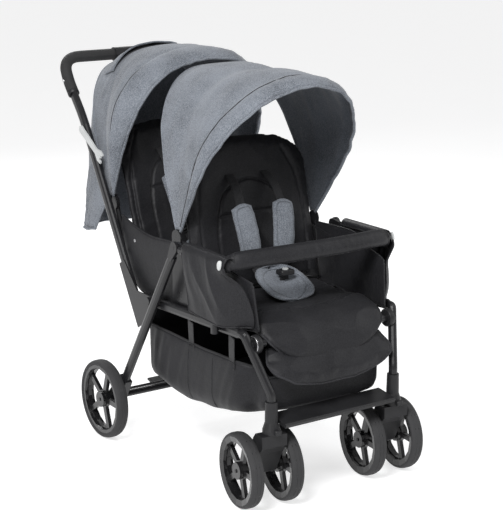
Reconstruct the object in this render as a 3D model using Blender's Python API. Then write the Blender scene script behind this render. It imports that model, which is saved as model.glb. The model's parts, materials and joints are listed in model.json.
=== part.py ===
"""Tandem double stroller: two seats one behind the other on a folding tube frame.

Metres, +Z up. The stroller faces -Y. The origin is on the floor, under the middle of the
whole length and width. Stations along the stroller are written as distances behind the
front castor stems, and at() turns them into the part's own frame.

Across the width the pieces lie in layers, so that the handle can fold over the seats:
cloth goods and their inner frames, then the rails and handle tubes, then the rear legs
and armrests, then the cloth side panels.
"""

import math

import bmesh
import bpy
from mathutils import Matrix, Vector

# Places along the stroller, behind the front castor stems
MIDDLE_Y = 0.497
GAP = 0.0003

# Layers across the width, each from its inner to its outer face
CLOTH_X = 0.2187
RAIL_IN_X = 0.2220
RAIL_WIDE = 0.018
ARM_IN_X = 0.2435
ARM_WIDE = 0.018
PANEL_THICK = 0.003
PANEL_NOSE = ((0.207, 0.085), (0.236, 0.118))
PANEL_REAR_Y = 0.285
PANEL_INNER_Y = 0.322
PANEL_OUTER_Z = (0.436, 0.620)
PANEL_INNER_Z = (0.462, 0.582)
PANEL_ROWS = 4

# Seat rails and bolt of the fold
RAIL_TALL = 0.028
RAIL_FRONT = (0.075, 0.443)
RAIL_REAR = (0.520, 0.428)
BOLT = (0.495, 0.4285)
BOLT_R = 0.011
BOLT_SHAFT_R = 0.005
BOLT_HEAD = 0.0045
PLATE_GAP = 0.0003
CROSS_R = 0.008
CROSS_FRONT_Y = 0.110
CROSS_REAR_Y = 0.470

# Handle
TUBE_DEEP = 0.030
HANDLE_FOOT = (0.546, 0.358)
HANDLE_RISE_DEG = 58.9
HANDLE_STRAIGHT = 0.605
HANDLE_NECK = (0.968, 0.958)
GRIP_PLACE = (1.022, 1.024)
GRIP_BAR_R = 0.011
GRIP_R = 0.0165
GRIP_HALF = 0.150
SLEEVE_HALF = 0.040
SLEEVE_R = 0.0200
NECK_X = 0.214
BRACKET_THICK = 0.0028
LEVER_PLACE = (0.846, 0.842)
LEVER_LONG = 0.125
LEVER_THICK = 0.005
LEVER_SLANT_DEG = -28.0
BRACKET_LONG = 0.175
GRIP_CORNER_X = 0.206
HANDLE_BEND = 0.055

# Rear legs, axle and rear wheels
LEG_TOP = (0.335, 0.609)
LEG_FOOT_Y = 0.6085
LEG_FOOT_Z = 0.1850
LEG_EYE_LONG = 0.030
PIN_R = 0.004
AXLE_PLACE = (0.6825, 0.1100)
HUB_IN_X = 0.2400
BRAKE_ROD = (0.6600, 0.1330)
PEDAL_X = -0.080
PEDAL_HALF = 0.035
PEDAL_LONG = 0.045
LEG_DEEP = 0.027
LEG_EYE_R = 0.016
REAR_R = 0.110
REAR_WIDE = 0.034
REAR_X = 0.281
AXLE_R = 0.009
BRAKE_ROD_R = 0.004
HUB_DEEP = 0.034

# Front legs, castors and front wheels
STEM_X = 0.191
FRONT_LEG_R = 0.0115
HOUSING_R = 0.0165
HOUSING_TOP = 0.282
HOUSING_FOOT = 0.200
FRONT_R = 0.096
FRONT_WIDE = 0.034
TWIN_HALF = 0.0555
TRAIL = 0.052
SWIVEL_DEG = -7.0
TYRE_THICK = 0.013
RIM_THICK = 0.009
HUB_R = 0.022
SPOKES = 5
FRONT_SIDES = 16
REAR_SIDES = 20
SPOKE_HALF = 0.0075
HUB_HALF = 0.015
WEB_HALF = 0.005
AXLE_PIN_R = 0.0045
STEM_PIN_R = 0.006
FORK_HALF = 0.0345
LEG_TOP_X = 0.231
LEG_KNEE = 0.016

# Armrests and bumper bar
POST_Y = 0.158
ARM_Z = 0.605
ARM_TALL = 0.022
BUMPER_Y = 0.084
BUMPER_R = 0.019
BUMPER_CORNER = 0.028
BUMPER_POWER = 2.8
BUMPER_END = 0.48
SOCKET_LONG = 0.046
TONGUE_LONG = 0.034
BUTTON_R = 0.006
BUTTON_TRAVEL = 0.003
BUTTON_RECESS = 0.0042
BUTTON_TALL = 0.0050
TONGUE_HALF = 0.0055

# Seats: hinge of each backrest, its length and how far it leans at rest
FRONT_HINGE = (0.345, 0.462)
FRONT_LEAN_DEG = 12.5
FRONT_BACK_LONG = 0.415
REAR_HINGE = (0.660, 0.492)
REAR_LEAN_DEG = 20.0
REAR_BACK_LONG = 0.400
FRONT_BACK_HALF = 0.204
REAR_BACK_HALF = 0.190
BACK_THICK = 0.034
SEAT_HALF = 0.185
SEAT_THICK = 0.034
FRONT_SEAT = (0.040, 0.325)
REAR_SEAT = (0.440, 0.640)
LEGREST_HINGE = (0.045, 0.419)
LEGREST_LONG = 0.105
LEGREST_THICK = 0.026
LEGREST_DEG = 32.0
LEGREST_HALF = 0.180
HINGE_BOSS_R = 0.010
HINGE_BOSS_X = 0.222

# Harness, the same on both seats
SLOT_UP = 0.275
SLOT_X = 0.055
STRAP_HALF = 0.0125
STRAP_THICK = 0.0016
PAD_HALF = 0.031
PAD_THICK = 0.013
BUCKLE_UP = 0.085
BUCKLE_OUT = 0.120
FRONT_BUCKLE_Y = 0.195
REAR_BUCKLE_Y = 0.562
CROTCH_LONG = 0.115
CROTCH_HALF = 0.050
CROTCH_DEG = 22.0
CROTCH_LIFT = (0.0041, 0.0020)
BUCKLE_BUTTON_R = 0.008

# Inner frame
SEAT_PLATE = 0.0027
FRAME_IN_X = 0.1952
FRAME_R = 0.008
REAR_BAR_R = 0.007
REAR_BAR_BEFORE = 0.050
REAR_BAR_UNDER = 0.036

# Canopies: pivot, spread, height and the tilt of their edges, forward negative
CANOPY_POWER = 2.8
CANOPY_THICK = 0.0025
CANOPY_CLEAR = 0.0010
CANOPY_LAP_DEG = 1.0
CANOPY_START = 0.012
CANOPY_COUNT = 17
FLAP_HALF = 0.2150
FLAP_SIDE_Y = 0.795
FLAP_BACK_Y = 0.968
FLAP_FOOT_Z = 0.545
FLAP_LIFT = 0.030
FLAP_FOLD = 0.006
FLAP_ROWS = 5
FLAP_SWELL = 0.03
FRONT_PIVOT = (0.385, 0.620)
FRONT_HOOPS = (0.500, 0.449, 0.449)
FRONT_CANOPY_DEG = (-35.0, -6.0, 21.0)
REAR_PIVOT = (0.732, 0.653)
REAR_HOOPS = (0.434, 0.421, 0.421)
REAR_CANOPY_DEG = (-24.0, 4.0, 30.0)
PIVOT_R = 0.022

# Basket
BASKET_HALF = 0.196
BASKET_NOSE_HALF = 0.168
BASKET_THICK = 0.003
BASKET_TOP = 0.347
BASKET_REAR_RISE = 0.052
STRAP_STATIONS = (0.160, 0.350)

# Footrest
TRAY_FRONT_Y = -0.032
TRAY_REAR_Y = 0.034
TRAY_Z = 0.230
TRAY_HALF = 0.1723

BLACK = ("satin_black", (0.018, 0.018, 0.020), 0.38, 0.6)
PLASTIC = ("black_plastic", (0.022, 0.022, 0.024), 0.45, 0.0)
RUBBER = ("tyre_rubber", (0.045, 0.045, 0.048), 0.85, 0.0)
RIM = ("rim_black", (0.012, 0.012, 0.013), 0.28, 0.0)
CLOTH = ("black_cloth", (0.020, 0.020, 0.023), 0.92, 0.0)
MELANGE = ("grey_melange", (0.150, 0.165, 0.195), 0.95, 0.0)
FOAM = ("grip_foam", (0.020, 0.020, 0.021), 0.80, 0.0)
GREY = ("light_grey_plastic", (0.50, 0.51, 0.51), 0.42, 0.0)


def at(x, y, z):
    """A point given behind the castor stems, in the part's frame."""
    return Vector((x, y - MIDDLE_Y, z))


def clear_scene():
    for old in list(bpy.data.objects):
        bpy.data.objects.remove(old, do_unlink=True)


def material(spec):
    name, colour, rough, metal = spec
    found = bpy.data.materials.get(name)
    if found:
        return found
    made = bpy.data.materials.new(name)
    made.use_nodes = True
    shader = made.node_tree.nodes["Principled BSDF"]
    shader.inputs["Base Color"].default_value = (*colour, 1.0)
    shader.inputs["Roughness"].default_value = rough
    shader.inputs["Metallic"].default_value = metal
    return made


def finish(name, bm, spec, pivot=None):
    """Make the object, with its origin on its joint's axis."""
    bmesh.ops.remove_doubles(bm, verts=bm.verts[:], dist=1e-6)
    loose = [edge for edge in bm.edges if not edge.link_faces]
    bmesh.ops.delete(bm, geom=loose, context="EDGES")
    bmesh.ops.recalc_face_normals(bm, faces=bm.faces[:])
    if bm.calc_volume(signed=True) < 0:
        bmesh.ops.reverse_faces(bm, faces=bm.faces[:])
    place = Vector((0, 0, 0)) if pivot is None else Vector(pivot)
    bmesh.ops.translate(bm, verts=bm.verts[:], vec=-place)
    mesh = bpy.data.meshes.new(name)
    bm.to_mesh(mesh)
    bm.free()
    mesh.shade_smooth()
    mesh.set_sharp_from_angle(angle=math.radians(35))
    mesh.materials.append(material(spec))
    made = bpy.data.objects.new(name, mesh)
    made.location = place
    bpy.context.collection.objects.link(made)
    return made


def loft(bm, rings, closed=False):
    """Skin a row of rings of equal count; capped at both ends unless closed."""
    rows = [[bm.verts.new(p) for p in ring] for ring in rings]
    count = len(rows[0])
    pairs = list(zip(rows, rows[1:]))
    if closed:
        pairs.append((rows[-1], rows[0]))
    for low, high in pairs:
        for i in range(count):
            j = (i + 1) % count
            bm.faces.new((low[i], low[j], high[j], high[i]))
    if not closed:
        bm.faces.new(rows[0])
        bm.faces.new(rows[-1])


def oval(wide, deep, count, power=2.0):
    """A rounded outline: half sizes wide and deep, squarer as power grows."""
    points = []
    for i in range(count):
        turn = 2 * math.pi * (i + 0.5) / count
        c = math.cos(turn)
        s = math.sin(turn)
        points.append((
            wide * math.copysign(abs(c) ** (2 / power), c),
            deep * math.copysign(abs(s) ** (2 / power), s),
        ))
    return points


def tangents(path):
    found = []
    for i in range(len(path)):
        before = path[max(i - 1, 0)]
        after = path[min(i + 1, len(path) - 1)]
        found.append((after - before).normalized())
    return found


def sweep(bm, path, section, side):
    """Run a section along a path. A section is an outline, or a function of the share run."""
    ways = tangents(path)
    side = Vector(side)
    rings = []
    for i, (spot, way) in enumerate(zip(path, ways)):
        side = (side - way * side.dot(way)).normalized()
        up = way.cross(side)
        outline = section(i / (len(path) - 1)) if callable(section) else section
        rings.append([spot + side * a + up * b for a, b in outline])
    loft(bm, rings)


def rounded(path, radius, steps=4):
    """The path with each inner corner turned into a short arc."""
    points = [path[0]]
    for before, corner, after in zip(path, path[1:], path[2:]):
        back = before - corner
        ahead = after - corner
        reach = min(radius, back.length * 0.49, ahead.length * 0.49)
        start = corner + back.normalized() * reach
        end = corner + ahead.normalized() * reach
        for k in range(steps + 1):
            t = k / steps
            points.append(start.lerp(corner, t).lerp(corner.lerp(end, t), t))
    points.append(path[-1])
    return points


def block(bm, low, high, bevel=0.0):
    """A box between two corners, with its edges broken by bevel."""
    low = Vector(low)
    high = Vector(high)
    made = bmesh.ops.create_cube(bm, size=1.0)["verts"]
    size = high - low
    bmesh.ops.scale(bm, vec=size, verts=made)
    bmesh.ops.translate(bm, vec=(low + high) / 2, verts=made)
    if bevel:
        edges = {e for v in made for e in v.link_edges}
        bmesh.ops.bevel(bm, geom=list(edges), offset=bevel, segments=1, affect="EDGES")


def slab(bm, outline, x_low, x_high):
    """A plate in the side view: outline points are (station, height)."""
    rings = [[at(x, y, z) for y, z in outline] for x in (x_low, x_high)]
    loft(bm, rings)


def turned(bm, profile, centre, count, axis="X"):
    """Turn a closed profile of (radius, along) points about an axis through centre."""
    centre = Vector(centre)
    rings = []
    for i in range(count):
        turn = 2 * math.pi * i / count
        ring = []
        for radius, along in profile:
            a = radius * math.cos(turn)
            b = radius * math.sin(turn)
            offset = Vector((along, a, b)) if axis == "X" else Vector((a, b, along))
            ring.append(centre + offset)
        rings.append(ring)
    loft(bm, rings, closed=True)


def rod(bm, start, end, radius, count=12):
    """A round bar from start to end."""
    way = (Vector(end) - Vector(start)).normalized()
    side = way.orthogonal().normalized()
    sweep(bm, [Vector(start), Vector(end)], oval(radius, radius, count), side)


def cut(target, cutter):
    """Take the cutter's shape out of the target."""
    cutter.hide_render = True
    cutter.display_type = "WIRE"
    step = target.modifiers.new("cut", "BOOLEAN")
    step.operation = "DIFFERENCE"
    step.solver = "EXACT"
    step.object = cutter


def joined(target, other):
    """Fuse another closed shape into the target."""
    other.hide_render = True
    other.display_type = "WIRE"
    step = target.modifiers.new("join", "BOOLEAN")
    step.operation = "UNION"
    step.solver = "EXACT"
    step.object = other


def sheet(bm, rows, thick_rows):
    """A closed skin between two grids of points, one each side of the cloth."""
    top = [[bm.verts.new(p) for p in row] for row in rows]
    low = [[bm.verts.new(p) for p in row] for row in thick_rows]
    last = len(top) - 1
    wide = len(top[0]) - 1
    for i in range(last):
        for j in range(wide):
            bm.faces.new((top[i][j], top[i][j + 1], top[i + 1][j + 1], top[i + 1][j]))
            bm.faces.new((low[i][j], low[i + 1][j], low[i + 1][j + 1], low[i][j + 1]))
    for i in range(last):
        bm.faces.new((top[i][0], top[i + 1][0], low[i + 1][0], low[i][0]))
        bm.faces.new((top[i][wide], low[i][wide], low[i + 1][wide], top[i + 1][wide]))
    for j in range(wide):
        bm.faces.new((top[0][j], low[0][j], low[0][j + 1], top[0][j + 1]))
        bm.faces.new((top[last][j], top[last][j + 1], low[last][j + 1], low[last][j]))


def sided(name, side):
    """Node name with its side as the child sees it: the near side, at -X, is the right."""
    return f"{name}_{'left' if side > 0 else 'right'}"


def rail_height(y):
    """Height of the seat rail's middle at a station."""
    share = (y - RAIL_FRONT[0]) / (RAIL_REAR[0] - RAIL_FRONT[0])
    return RAIL_FRONT[1] + share * (RAIL_REAR[1] - RAIL_FRONT[1])


def bored(target, centre, radius, half_long, name):
    """Cut a hole along X through the target."""
    bm = bmesh.new()
    low = Vector(centre) - Vector((half_long, 0, 0))
    high = Vector(centre) + Vector((half_long, 0, 0))
    rod(bm, low, high, radius, 12)
    cut(target, finish(name, bm, PLASTIC))


def seat_frame():
    """Two rails with cross tubes and inner plates welded on, and the bolts of the fold."""
    middle = RAIL_IN_X + RAIL_WIDE / 2
    frame = None
    for side in (-1, 1):
        bm = bmesh.new()
        path = [at(side * middle, *RAIL_FRONT), at(side * middle, *RAIL_REAR)]
        sweep(bm, path, oval(RAIL_WIDE / 2, RAIL_TALL / 2, 12, 2.6), (1, 0, 0))
        rail = finish(sided("seat_rail", side) if frame else "seat_frame", bm, BLACK)
        if frame:
            joined(frame, rail)
        else:
            frame = rail
    for name, y in (("front", CROSS_FRONT_Y), ("rear", CROSS_REAR_Y)):
        bm = bmesh.new()
        z = rail_height(y)
        rod(bm, at(-middle, y, z), at(middle, y, z), CROSS_R)
        joined(frame, finish(f"cross_tube_{name}", bm, BLACK))
    for side in (-1, 1):
        bm = bmesh.new()
        foot = rail_height(FRONT_PIVOT[0]) - 0.008
        outline = ring_outline(FRONT_PIVOT, PIVOT_R, -20, 200, 9)
        outline += [(FRONT_HINGE[0] - 0.016, FRONT_HINGE[1] + 0.016),
                    (FRONT_HINGE[0] - 0.018, foot), (FRONT_PIVOT[0] + 0.020, foot)]
        inner = RAIL_IN_X - GAP - SEAT_PLATE
        slab(bm, outline, side * inner, side * (inner + SEAT_PLATE))
        plate = finish(sided("seat_plate", side), bm, BLACK)
        joined(frame, plate)
        bm = bmesh.new()
        low = (FRONT_HINGE[0], foot + 0.003)
        block(bm, *corners(side * inner, side * middle, (low[0] - 0.015, low[1] - 0.002),
                           (low[0] + 0.050, low[1] + 0.008)))
        joined(frame, finish(sided("plate_weld", side), bm, BLACK))
        hinge = at(0, *FRONT_HINGE)
        bm = bmesh.new()
        rod(bm, hinge + Vector((side * (FRONT_BACK_HALF + GAP), 0, 0)),
            hinge + Vector((side * (inner + SEAT_PLATE / 2), 0, 0)), PIN_R, 10)
        joined(frame, finish(sided("front_recline_pin", side), bm, BLACK))
        spot = at(side * middle, *BOLT)
        bored(frame, spot, BOLT_SHAFT_R + GAP, RAIL_WIDE, sided("rail_bore", side))
        bm = bmesh.new()
        inner = side * (RAIL_IN_X - GAP)
        shaft_end = side * (RAIL_IN_X + RAIL_WIDE + PLATE_GAP + BRACKET_THICK + GAP)
        head_end = shaft_end + side * BOLT_HEAD
        rod(bm, at(inner, *BOLT), at(shaft_end + side * 0.001, *BOLT), BOLT_SHAFT_R)
        bolt = finish(sided("fold_bolt", side), bm, BLACK)
        bm = bmesh.new()
        rod(bm, at(shaft_end, *BOLT), at(head_end, *BOLT), BOLT_R, 16)
        joined(bolt, finish(sided("bolt_head", side), bm, BLACK))


def corners(x_one, x_two, low, high):
    """The two corners of a box given by its sides and two (station, height) points."""
    one = at(min(x_one, x_two), *low)
    two = at(max(x_one, x_two), *high)
    return one, two


def front_legs():
    for side in (-1, 1):
        top = at(side * LEG_TOP_X, RAIL_FRONT[0] - 3 * GAP, RAIL_FRONT[1])
        knee = top - Vector((0, LEG_KNEE, 0))
        foot = at(side * STEM_X, 0.0, HOUSING_TOP + GAP)
        above = foot + Vector((0, 0, LEG_KNEE))
        bm = bmesh.new()
        path = rounded([top, knee, above, foot], 0.03)
        sweep(bm, path, oval(FRONT_LEG_R, FRONT_LEG_R, 12), (1, 0, 0))
        leg = finish(sided("front_leg", side), bm, BLACK)
        bm = bmesh.new()
        rod(bm, at(side * (LEGREST_HALF + GAP), *LEGREST_HINGE), at(side * HINGE_BOSS_X, *LEGREST_HINGE),
            HINGE_BOSS_R, 16)
        joined(leg, finish(sided("legrest_hinge", side), bm, PLASTIC))


def castor_stem(side):
    return at(side * STEM_X, 0.0, 0.0)


def castors():
    """Fixed housings, swivelling forks, their locks, and two wheels on each fork."""
    for side in (-1, 1):
        stem = castor_stem(side)
        bm = bmesh.new()
        foot = HOUSING_FOOT + GAP
        profile = [
            (STEM_PIN_R + GAP, foot),
            (HOUSING_R + 0.006, foot),
            (HOUSING_R + 0.006, foot + 0.012),
            (HOUSING_R, foot + 0.030),
            (HOUSING_R - 0.001, HOUSING_TOP),
            (STEM_PIN_R + GAP, HOUSING_TOP),
        ]
        turned(bm, profile, stem, 20, "Z")
        finish(sided("castor_housing", side), bm, PLASTIC)

        turn = Matrix.Rotation(math.radians(SWIVEL_DEG), 4, "Z")
        bm = bmesh.new()
        outline = [
            (-0.018, HOUSING_FOOT), (0.018, HOUSING_FOOT), (0.030, HOUSING_FOOT - 0.014),
            (TRAIL + 0.016, FRONT_R + 0.016), (TRAIL + 0.016, FRONT_R - 0.012),
            (TRAIL, FRONT_R - 0.018), (TRAIL - 0.014, FRONT_R - 0.010),
            (0.004, HOUSING_FOOT - 0.052), (-0.018, HOUSING_FOOT - 0.030),
        ]
        rings = [[Vector((x, y, z)) for y, z in outline] for x in (-FORK_HALF, FORK_HALF)]
        loft(bm, rings)
        fork = finish(sided("castor_fork", side), bm, PLASTIC)
        bm = bmesh.new()
        reach = TWIN_HALF + FRONT_WIDE / 2
        rod(bm, (-reach, TRAIL, FRONT_R), (reach, TRAIL, FRONT_R), AXLE_PIN_R)
        axle = finish(sided("castor_axle", side), bm, BLACK)
        joined(fork, axle)
        bm = bmesh.new()
        rod(bm, (0, 0, HOUSING_FOOT - 0.02), (0, 0, HOUSING_TOP - 0.01), STEM_PIN_R)
        pin = finish(sided("castor_pin", side), bm, BLACK)
        joined(fork, pin)
        for piece in (fork, axle, pin):
            piece.matrix_world = Matrix.Translation(stem) @ turn

        bm = bmesh.new()
        front = -HOUSING_R - 0.006 - GAP
        low = (-0.009, front - 0.010, HOUSING_FOOT + 0.002)
        block(bm, low, (0.009, front, HOUSING_FOOT + 0.016), 0.002)
        lock = finish(sided("castor_lock", side), bm, PLASTIC)
        lock.location = stem
        for twin, offset in (("outer", side * TWIN_HALF), ("inner", -side * TWIN_HALF)):
            hub = stem + turn @ Vector((offset, TRAIL, FRONT_R))
            name = f"front_wheel_{'left' if side > 0 else 'right'}_{twin}"
            wheel(name, hub, turn, FRONT_R, FRONT_WIDE, FRONT_SIDES)


def wheel(name, hub, turn, radius, wide, count, tyre_apart=False):
    """A spoked wheel turned about the X axis of its own frame. The tyre of a small wheel is
    moulded on its rim; that of a large wheel is a ring of its own."""
    ring_out = radius - TYRE_THICK
    ring_in = ring_out - RIM_THICK
    half = wide / 2
    lip = half - 0.003
    bore = AXLE_PIN_R + GAP
    place = Matrix.Translation(hub) @ turn
    shoulder = [
        (ring_out + GAP, -lip), (ring_out + 0.4 * TYRE_THICK, -half),
        (radius - 0.0035, -half * 0.72), (radius, -half * 0.32),
    ]
    half_rim = [
        (bore, -HUB_HALF), (HUB_R, -HUB_HALF), (HUB_R, -WEB_HALF), (ring_in, -WEB_HALF),
        (ring_in, -lip),
    ]
    if tyre_apart:
        bm = bmesh.new()
        profile = shoulder + [(r, -along) for r, along in reversed(shoulder)]
        turned(bm, profile, (0, 0, 0), count)
        finish(name.replace("wheel", "tyre"), bm, RUBBER).matrix_world = place
        half_rim.append((ring_out, -lip))
    else:
        half_rim += shoulder[1:]
    bm = bmesh.new()
    profile = half_rim + [(r, -along) for r, along in reversed(half_rim)]
    turned(bm, profile, (0, 0, 0), count)
    rim = finish(name.replace("wheel", "rim") if tyre_apart else name, bm, RIM)
    bm = bmesh.new()
    r_low = HUB_R + 0.004
    r_high = ring_in - 0.003
    for i in range(SPOKES):
        middle = 2 * math.pi * i / SPOKES
        spread_low = math.pi / SPOKES - SPOKE_HALF / r_low
        spread_high = math.pi / SPOKES - SPOKE_HALF / r_high
        outline = []
        for r, spread, shares in (
            (r_low, spread_low, (-1, 1)),
            (r_high, spread_high, (1, 0.33, -0.33, -1)),
        ):
            for share in shares:
                a = middle + spread * share
                outline.append((r * math.cos(a), r * math.sin(a)))
        loft(bm, [[Vector((x, a, b)) for a, b in outline] for x in (-half, half)])
    windows = finish(f"{name}_windows", bm, RIM)
    windows.matrix_world = place
    rim.matrix_world = place
    cut(rim, windows)


def footrest():
    bm = bmesh.new()
    outline = [
        (TRAY_FRONT_Y, TRAY_Z - 0.012), (TRAY_FRONT_Y - 0.004, TRAY_Z - 0.004),
        (TRAY_FRONT_Y, TRAY_Z), (TRAY_REAR_Y, TRAY_Z + 0.008),
        (TRAY_REAR_Y, TRAY_Z + 0.002), (TRAY_FRONT_Y + 0.010, TRAY_Z - 0.010),
    ]
    slab(bm, outline, -TRAY_HALF, TRAY_HALF)
    finish("footrest_tray", bm, PLASTIC)


def along(start, degrees, distance, across=0.0):
    """The station and height reached from start, and how far square to the left of the way."""
    c = math.cos(math.radians(degrees))
    s = math.sin(math.radians(degrees))
    return start[0] + distance * c - across * s, start[1] + distance * s + across * c


def leg_slope():
    """Direction of the rear legs in the side view, in degrees above the way back."""
    run = LEG_FOOT_Y - LEG_TOP[0]
    drop = LEG_FOOT_Z - LEG_TOP[1]
    return math.degrees(math.atan2(drop, run))


def ring_outline(centre, radius, start, end, count):
    """Points of an arc in the side view, between two directions in degrees."""
    found = []
    for i in range(count):
        turn = math.radians(start + (end - start) * i / (count - 1))
        found.append((centre[0] + radius * math.cos(turn), centre[1] + radius * math.sin(turn)))
    return found


def rear_legs():
    slope = leg_slope()
    long = math.hypot(LEG_FOOT_Y - LEG_TOP[0], LEG_FOOT_Z - LEG_TOP[1])
    pivot = at(0, *LEG_TOP)
    split = ARM_IN_X + ARM_WIDE / 2 + GAP
    outer = ARM_IN_X + ARM_WIDE
    middle = ARM_IN_X + ARM_WIDE / 2
    bm = bmesh.new()
    rod(bm, at(-middle, *AXLE_PLACE), at(middle, *AXLE_PLACE), AXLE_R)
    axle = finish("rear_axle", bm, BLACK, pivot)
    bm = bmesh.new()
    rod(bm, at(-middle, *BRAKE_ROD), at(middle, *BRAKE_ROD), BRAKE_ROD_R, 8)
    joined(axle, finish("brake_rod", bm, BLACK, pivot))
    for side in (-1, 1):
        bm = bmesh.new()
        start = along(LEG_TOP, slope, LEG_EYE_LONG)
        path = [at(side * middle, *start), at(side * middle, LEG_FOOT_Y, LEG_FOOT_Z)]
        sweep(bm, path, oval(ARM_WIDE / 2, LEG_DEEP / 2, 12, 2.6), (1, 0, 0))
        leg = finish(sided("rear_leg", side), bm, BLACK, pivot)
        bm = bmesh.new()
        outline = ring_outline(LEG_TOP, LEG_EYE_R, slope + 90, slope + 270, 9)
        for across in (-1, 1):
            outline.append(along(LEG_TOP, slope, LEG_EYE_LONG + 0.012, across * 0.009))
        slab(bm, outline, side * split, side * outer)
        joined(leg, finish(sided("leg_eye", side), bm, BLACK, pivot))
        bored(leg, at(side * middle, *LEG_TOP), PIN_R + GAP, ARM_WIDE, sided("eye_bore", side))

        bm = bmesh.new()
        top = along((LEG_FOOT_Y, LEG_FOOT_Z), slope, GAP)
        outline = [
            along(top, slope, 0, -HUB_DEEP * 0.5), along(top, slope, 0, HUB_DEEP * 0.5),
            (AXLE_PLACE[0] + 0.016, AXLE_PLACE[1] + 0.010),
            (AXLE_PLACE[0] + 0.014, AXLE_PLACE[1] - 0.012),
            (AXLE_PLACE[0] - 0.002, AXLE_PLACE[1] - 0.018),
            (AXLE_PLACE[0] - 0.040, AXLE_PLACE[1] - 0.014),
        ]
        slab(bm, outline, side * HUB_IN_X, side * outer)
        joined(axle, finish(sided("hub_housing", side), bm, PLASTIC, pivot))
        bm = bmesh.new()
        stub = REAR_X + REAR_WIDE / 2
        rod(bm, at(side * (outer - 0.006), *AXLE_PLACE), at(side * stub, *AXLE_PLACE), AXLE_PIN_R)
        joined(axle, finish(sided("wheel_stub", side), bm, BLACK, pivot))
        hub = at(side * REAR_X, *AXLE_PLACE)
        wheel(sided("rear_wheel", side), hub, Matrix.Identity(4), REAR_R, REAR_WIDE, REAR_SIDES, True)

    bm = bmesh.new()
    inner = AXLE_R + GAP
    wall = inner + 0.003
    outline = ring_outline(AXLE_PLACE, inner, -60, 130, 8)
    outline += ring_outline(AXLE_PLACE, wall, 130, 25, 6)
    outline += [
        (AXLE_PLACE[0] + PEDAL_LONG, AXLE_PLACE[1] + 0.016),
        (AXLE_PLACE[0] + PEDAL_LONG + 0.002, AXLE_PLACE[1] + 0.011),
        (AXLE_PLACE[0] + wall, AXLE_PLACE[1]),
    ]
    outline += ring_outline(AXLE_PLACE, wall, -25, -60, 3)
    slab(bm, outline, PEDAL_X - PEDAL_HALF, PEDAL_X + PEDAL_HALF)
    finish("brake_pedal", bm, PLASTIC, at(PEDAL_X, *AXLE_PLACE))


def armrests():
    """Post, side arm and lug on each side, with the socket that takes the bumper bar."""
    outer = ARM_IN_X + ARM_WIDE
    middle = ARM_IN_X + ARM_WIDE / 2
    socket_rear = POST_Y + SOCKET_LONG / 2
    socket_front = POST_Y - SOCKET_LONG / 2
    lug_out = ARM_IN_X + ARM_WIDE / 2
    for side in (-1, 1):
        bm = bmesh.new()
        foot = rail_height(POST_Y) - RAIL_TALL / 2
        path = [at(side * middle, POST_Y, foot), at(side * middle, POST_Y, ARM_Z)]
        sweep(bm, path, oval(ARM_WIDE / 2, 0.010, 10, 2.6), (1, 0, 0))
        arm = finish(sided("armrest", side), bm, BLACK)
        bm = bmesh.new()
        pad = RAIL_IN_X + RAIL_WIDE + GAP
        rod(bm, at(side * pad, POST_Y, rail_height(POST_Y)),
            at(side * middle, POST_Y, rail_height(POST_Y)), 0.008)
        joined(arm, finish(sided("post_foot", side), bm, BLACK))
        bm = bmesh.new()
        low = at(side * ARM_IN_X, socket_front, ARM_Z - ARM_TALL / 2)
        high = at(side * outer, socket_rear, ARM_Z + ARM_TALL / 2)
        corners = [sorted(pair) for pair in zip(low, high)]
        block(bm, [c[0] for c in corners], [c[1] for c in corners], 0.002)
        joined(arm, finish(sided("socket", side), bm, BLACK))
        bm = bmesh.new()
        path = [at(side * middle, socket_rear - 0.006, ARM_Z),
                at(side * middle, LEG_TOP[0] - LEG_EYE_R - 0.004, LEG_TOP[1] - 0.003)]
        sweep(bm, path, oval(ARM_WIDE / 2, ARM_TALL / 2 - 0.001, 10, 2.6), (1, 0, 0))
        joined(arm, finish(sided("side_arm", side), bm, BLACK))
        bm = bmesh.new()
        outline = ring_outline(LEG_TOP, LEG_EYE_R - 0.002, -90, 90, 8)
        outline += [(LEG_TOP[0] - 0.032, LEG_TOP[1] + 0.009), (LEG_TOP[0] - 0.032, LEG_TOP[1] - 0.014)]
        slab(bm, outline, side * ARM_IN_X, side * lug_out)
        joined(arm, finish(sided("lug", side), bm, BLACK))
        bm = bmesh.new()
        rod(bm, at(side * (lug_out - 0.002), *LEG_TOP), at(side * (outer + GAP), *LEG_TOP), PIN_R)
        joined(arm, finish(sided("leg_pin", side), bm, BLACK))
        bm = bmesh.new()
        room = TONGUE_HALF + 0.0005
        low = at(side * middle - room, socket_front - 0.01, ARM_Z - room)
        high = at(side * middle + room, socket_front + TONGUE_LONG + 0.002, ARM_Z + room)
        block(bm, low, high)
        cut(arm, finish(sided("socket_slot", side), bm, BLACK))
        floor = at(side * middle, POST_Y, ARM_Z + ARM_TALL / 2 - BUTTON_RECESS)
        bm = bmesh.new()
        rod(bm, floor, floor + Vector((0, 0, 0.02)), BUTTON_R + GAP, 12)
        cut(arm, finish(sided("button_recess", side), bm, BLACK))
        bm = bmesh.new()
        low = floor + Vector((0, 0, BUTTON_TRAVEL + GAP))
        rod(bm, low, low + Vector((0, 0, BUTTON_TALL)), BUTTON_R, 12)
        finish(sided("bumper_button", side), bm, PLASTIC)


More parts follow.
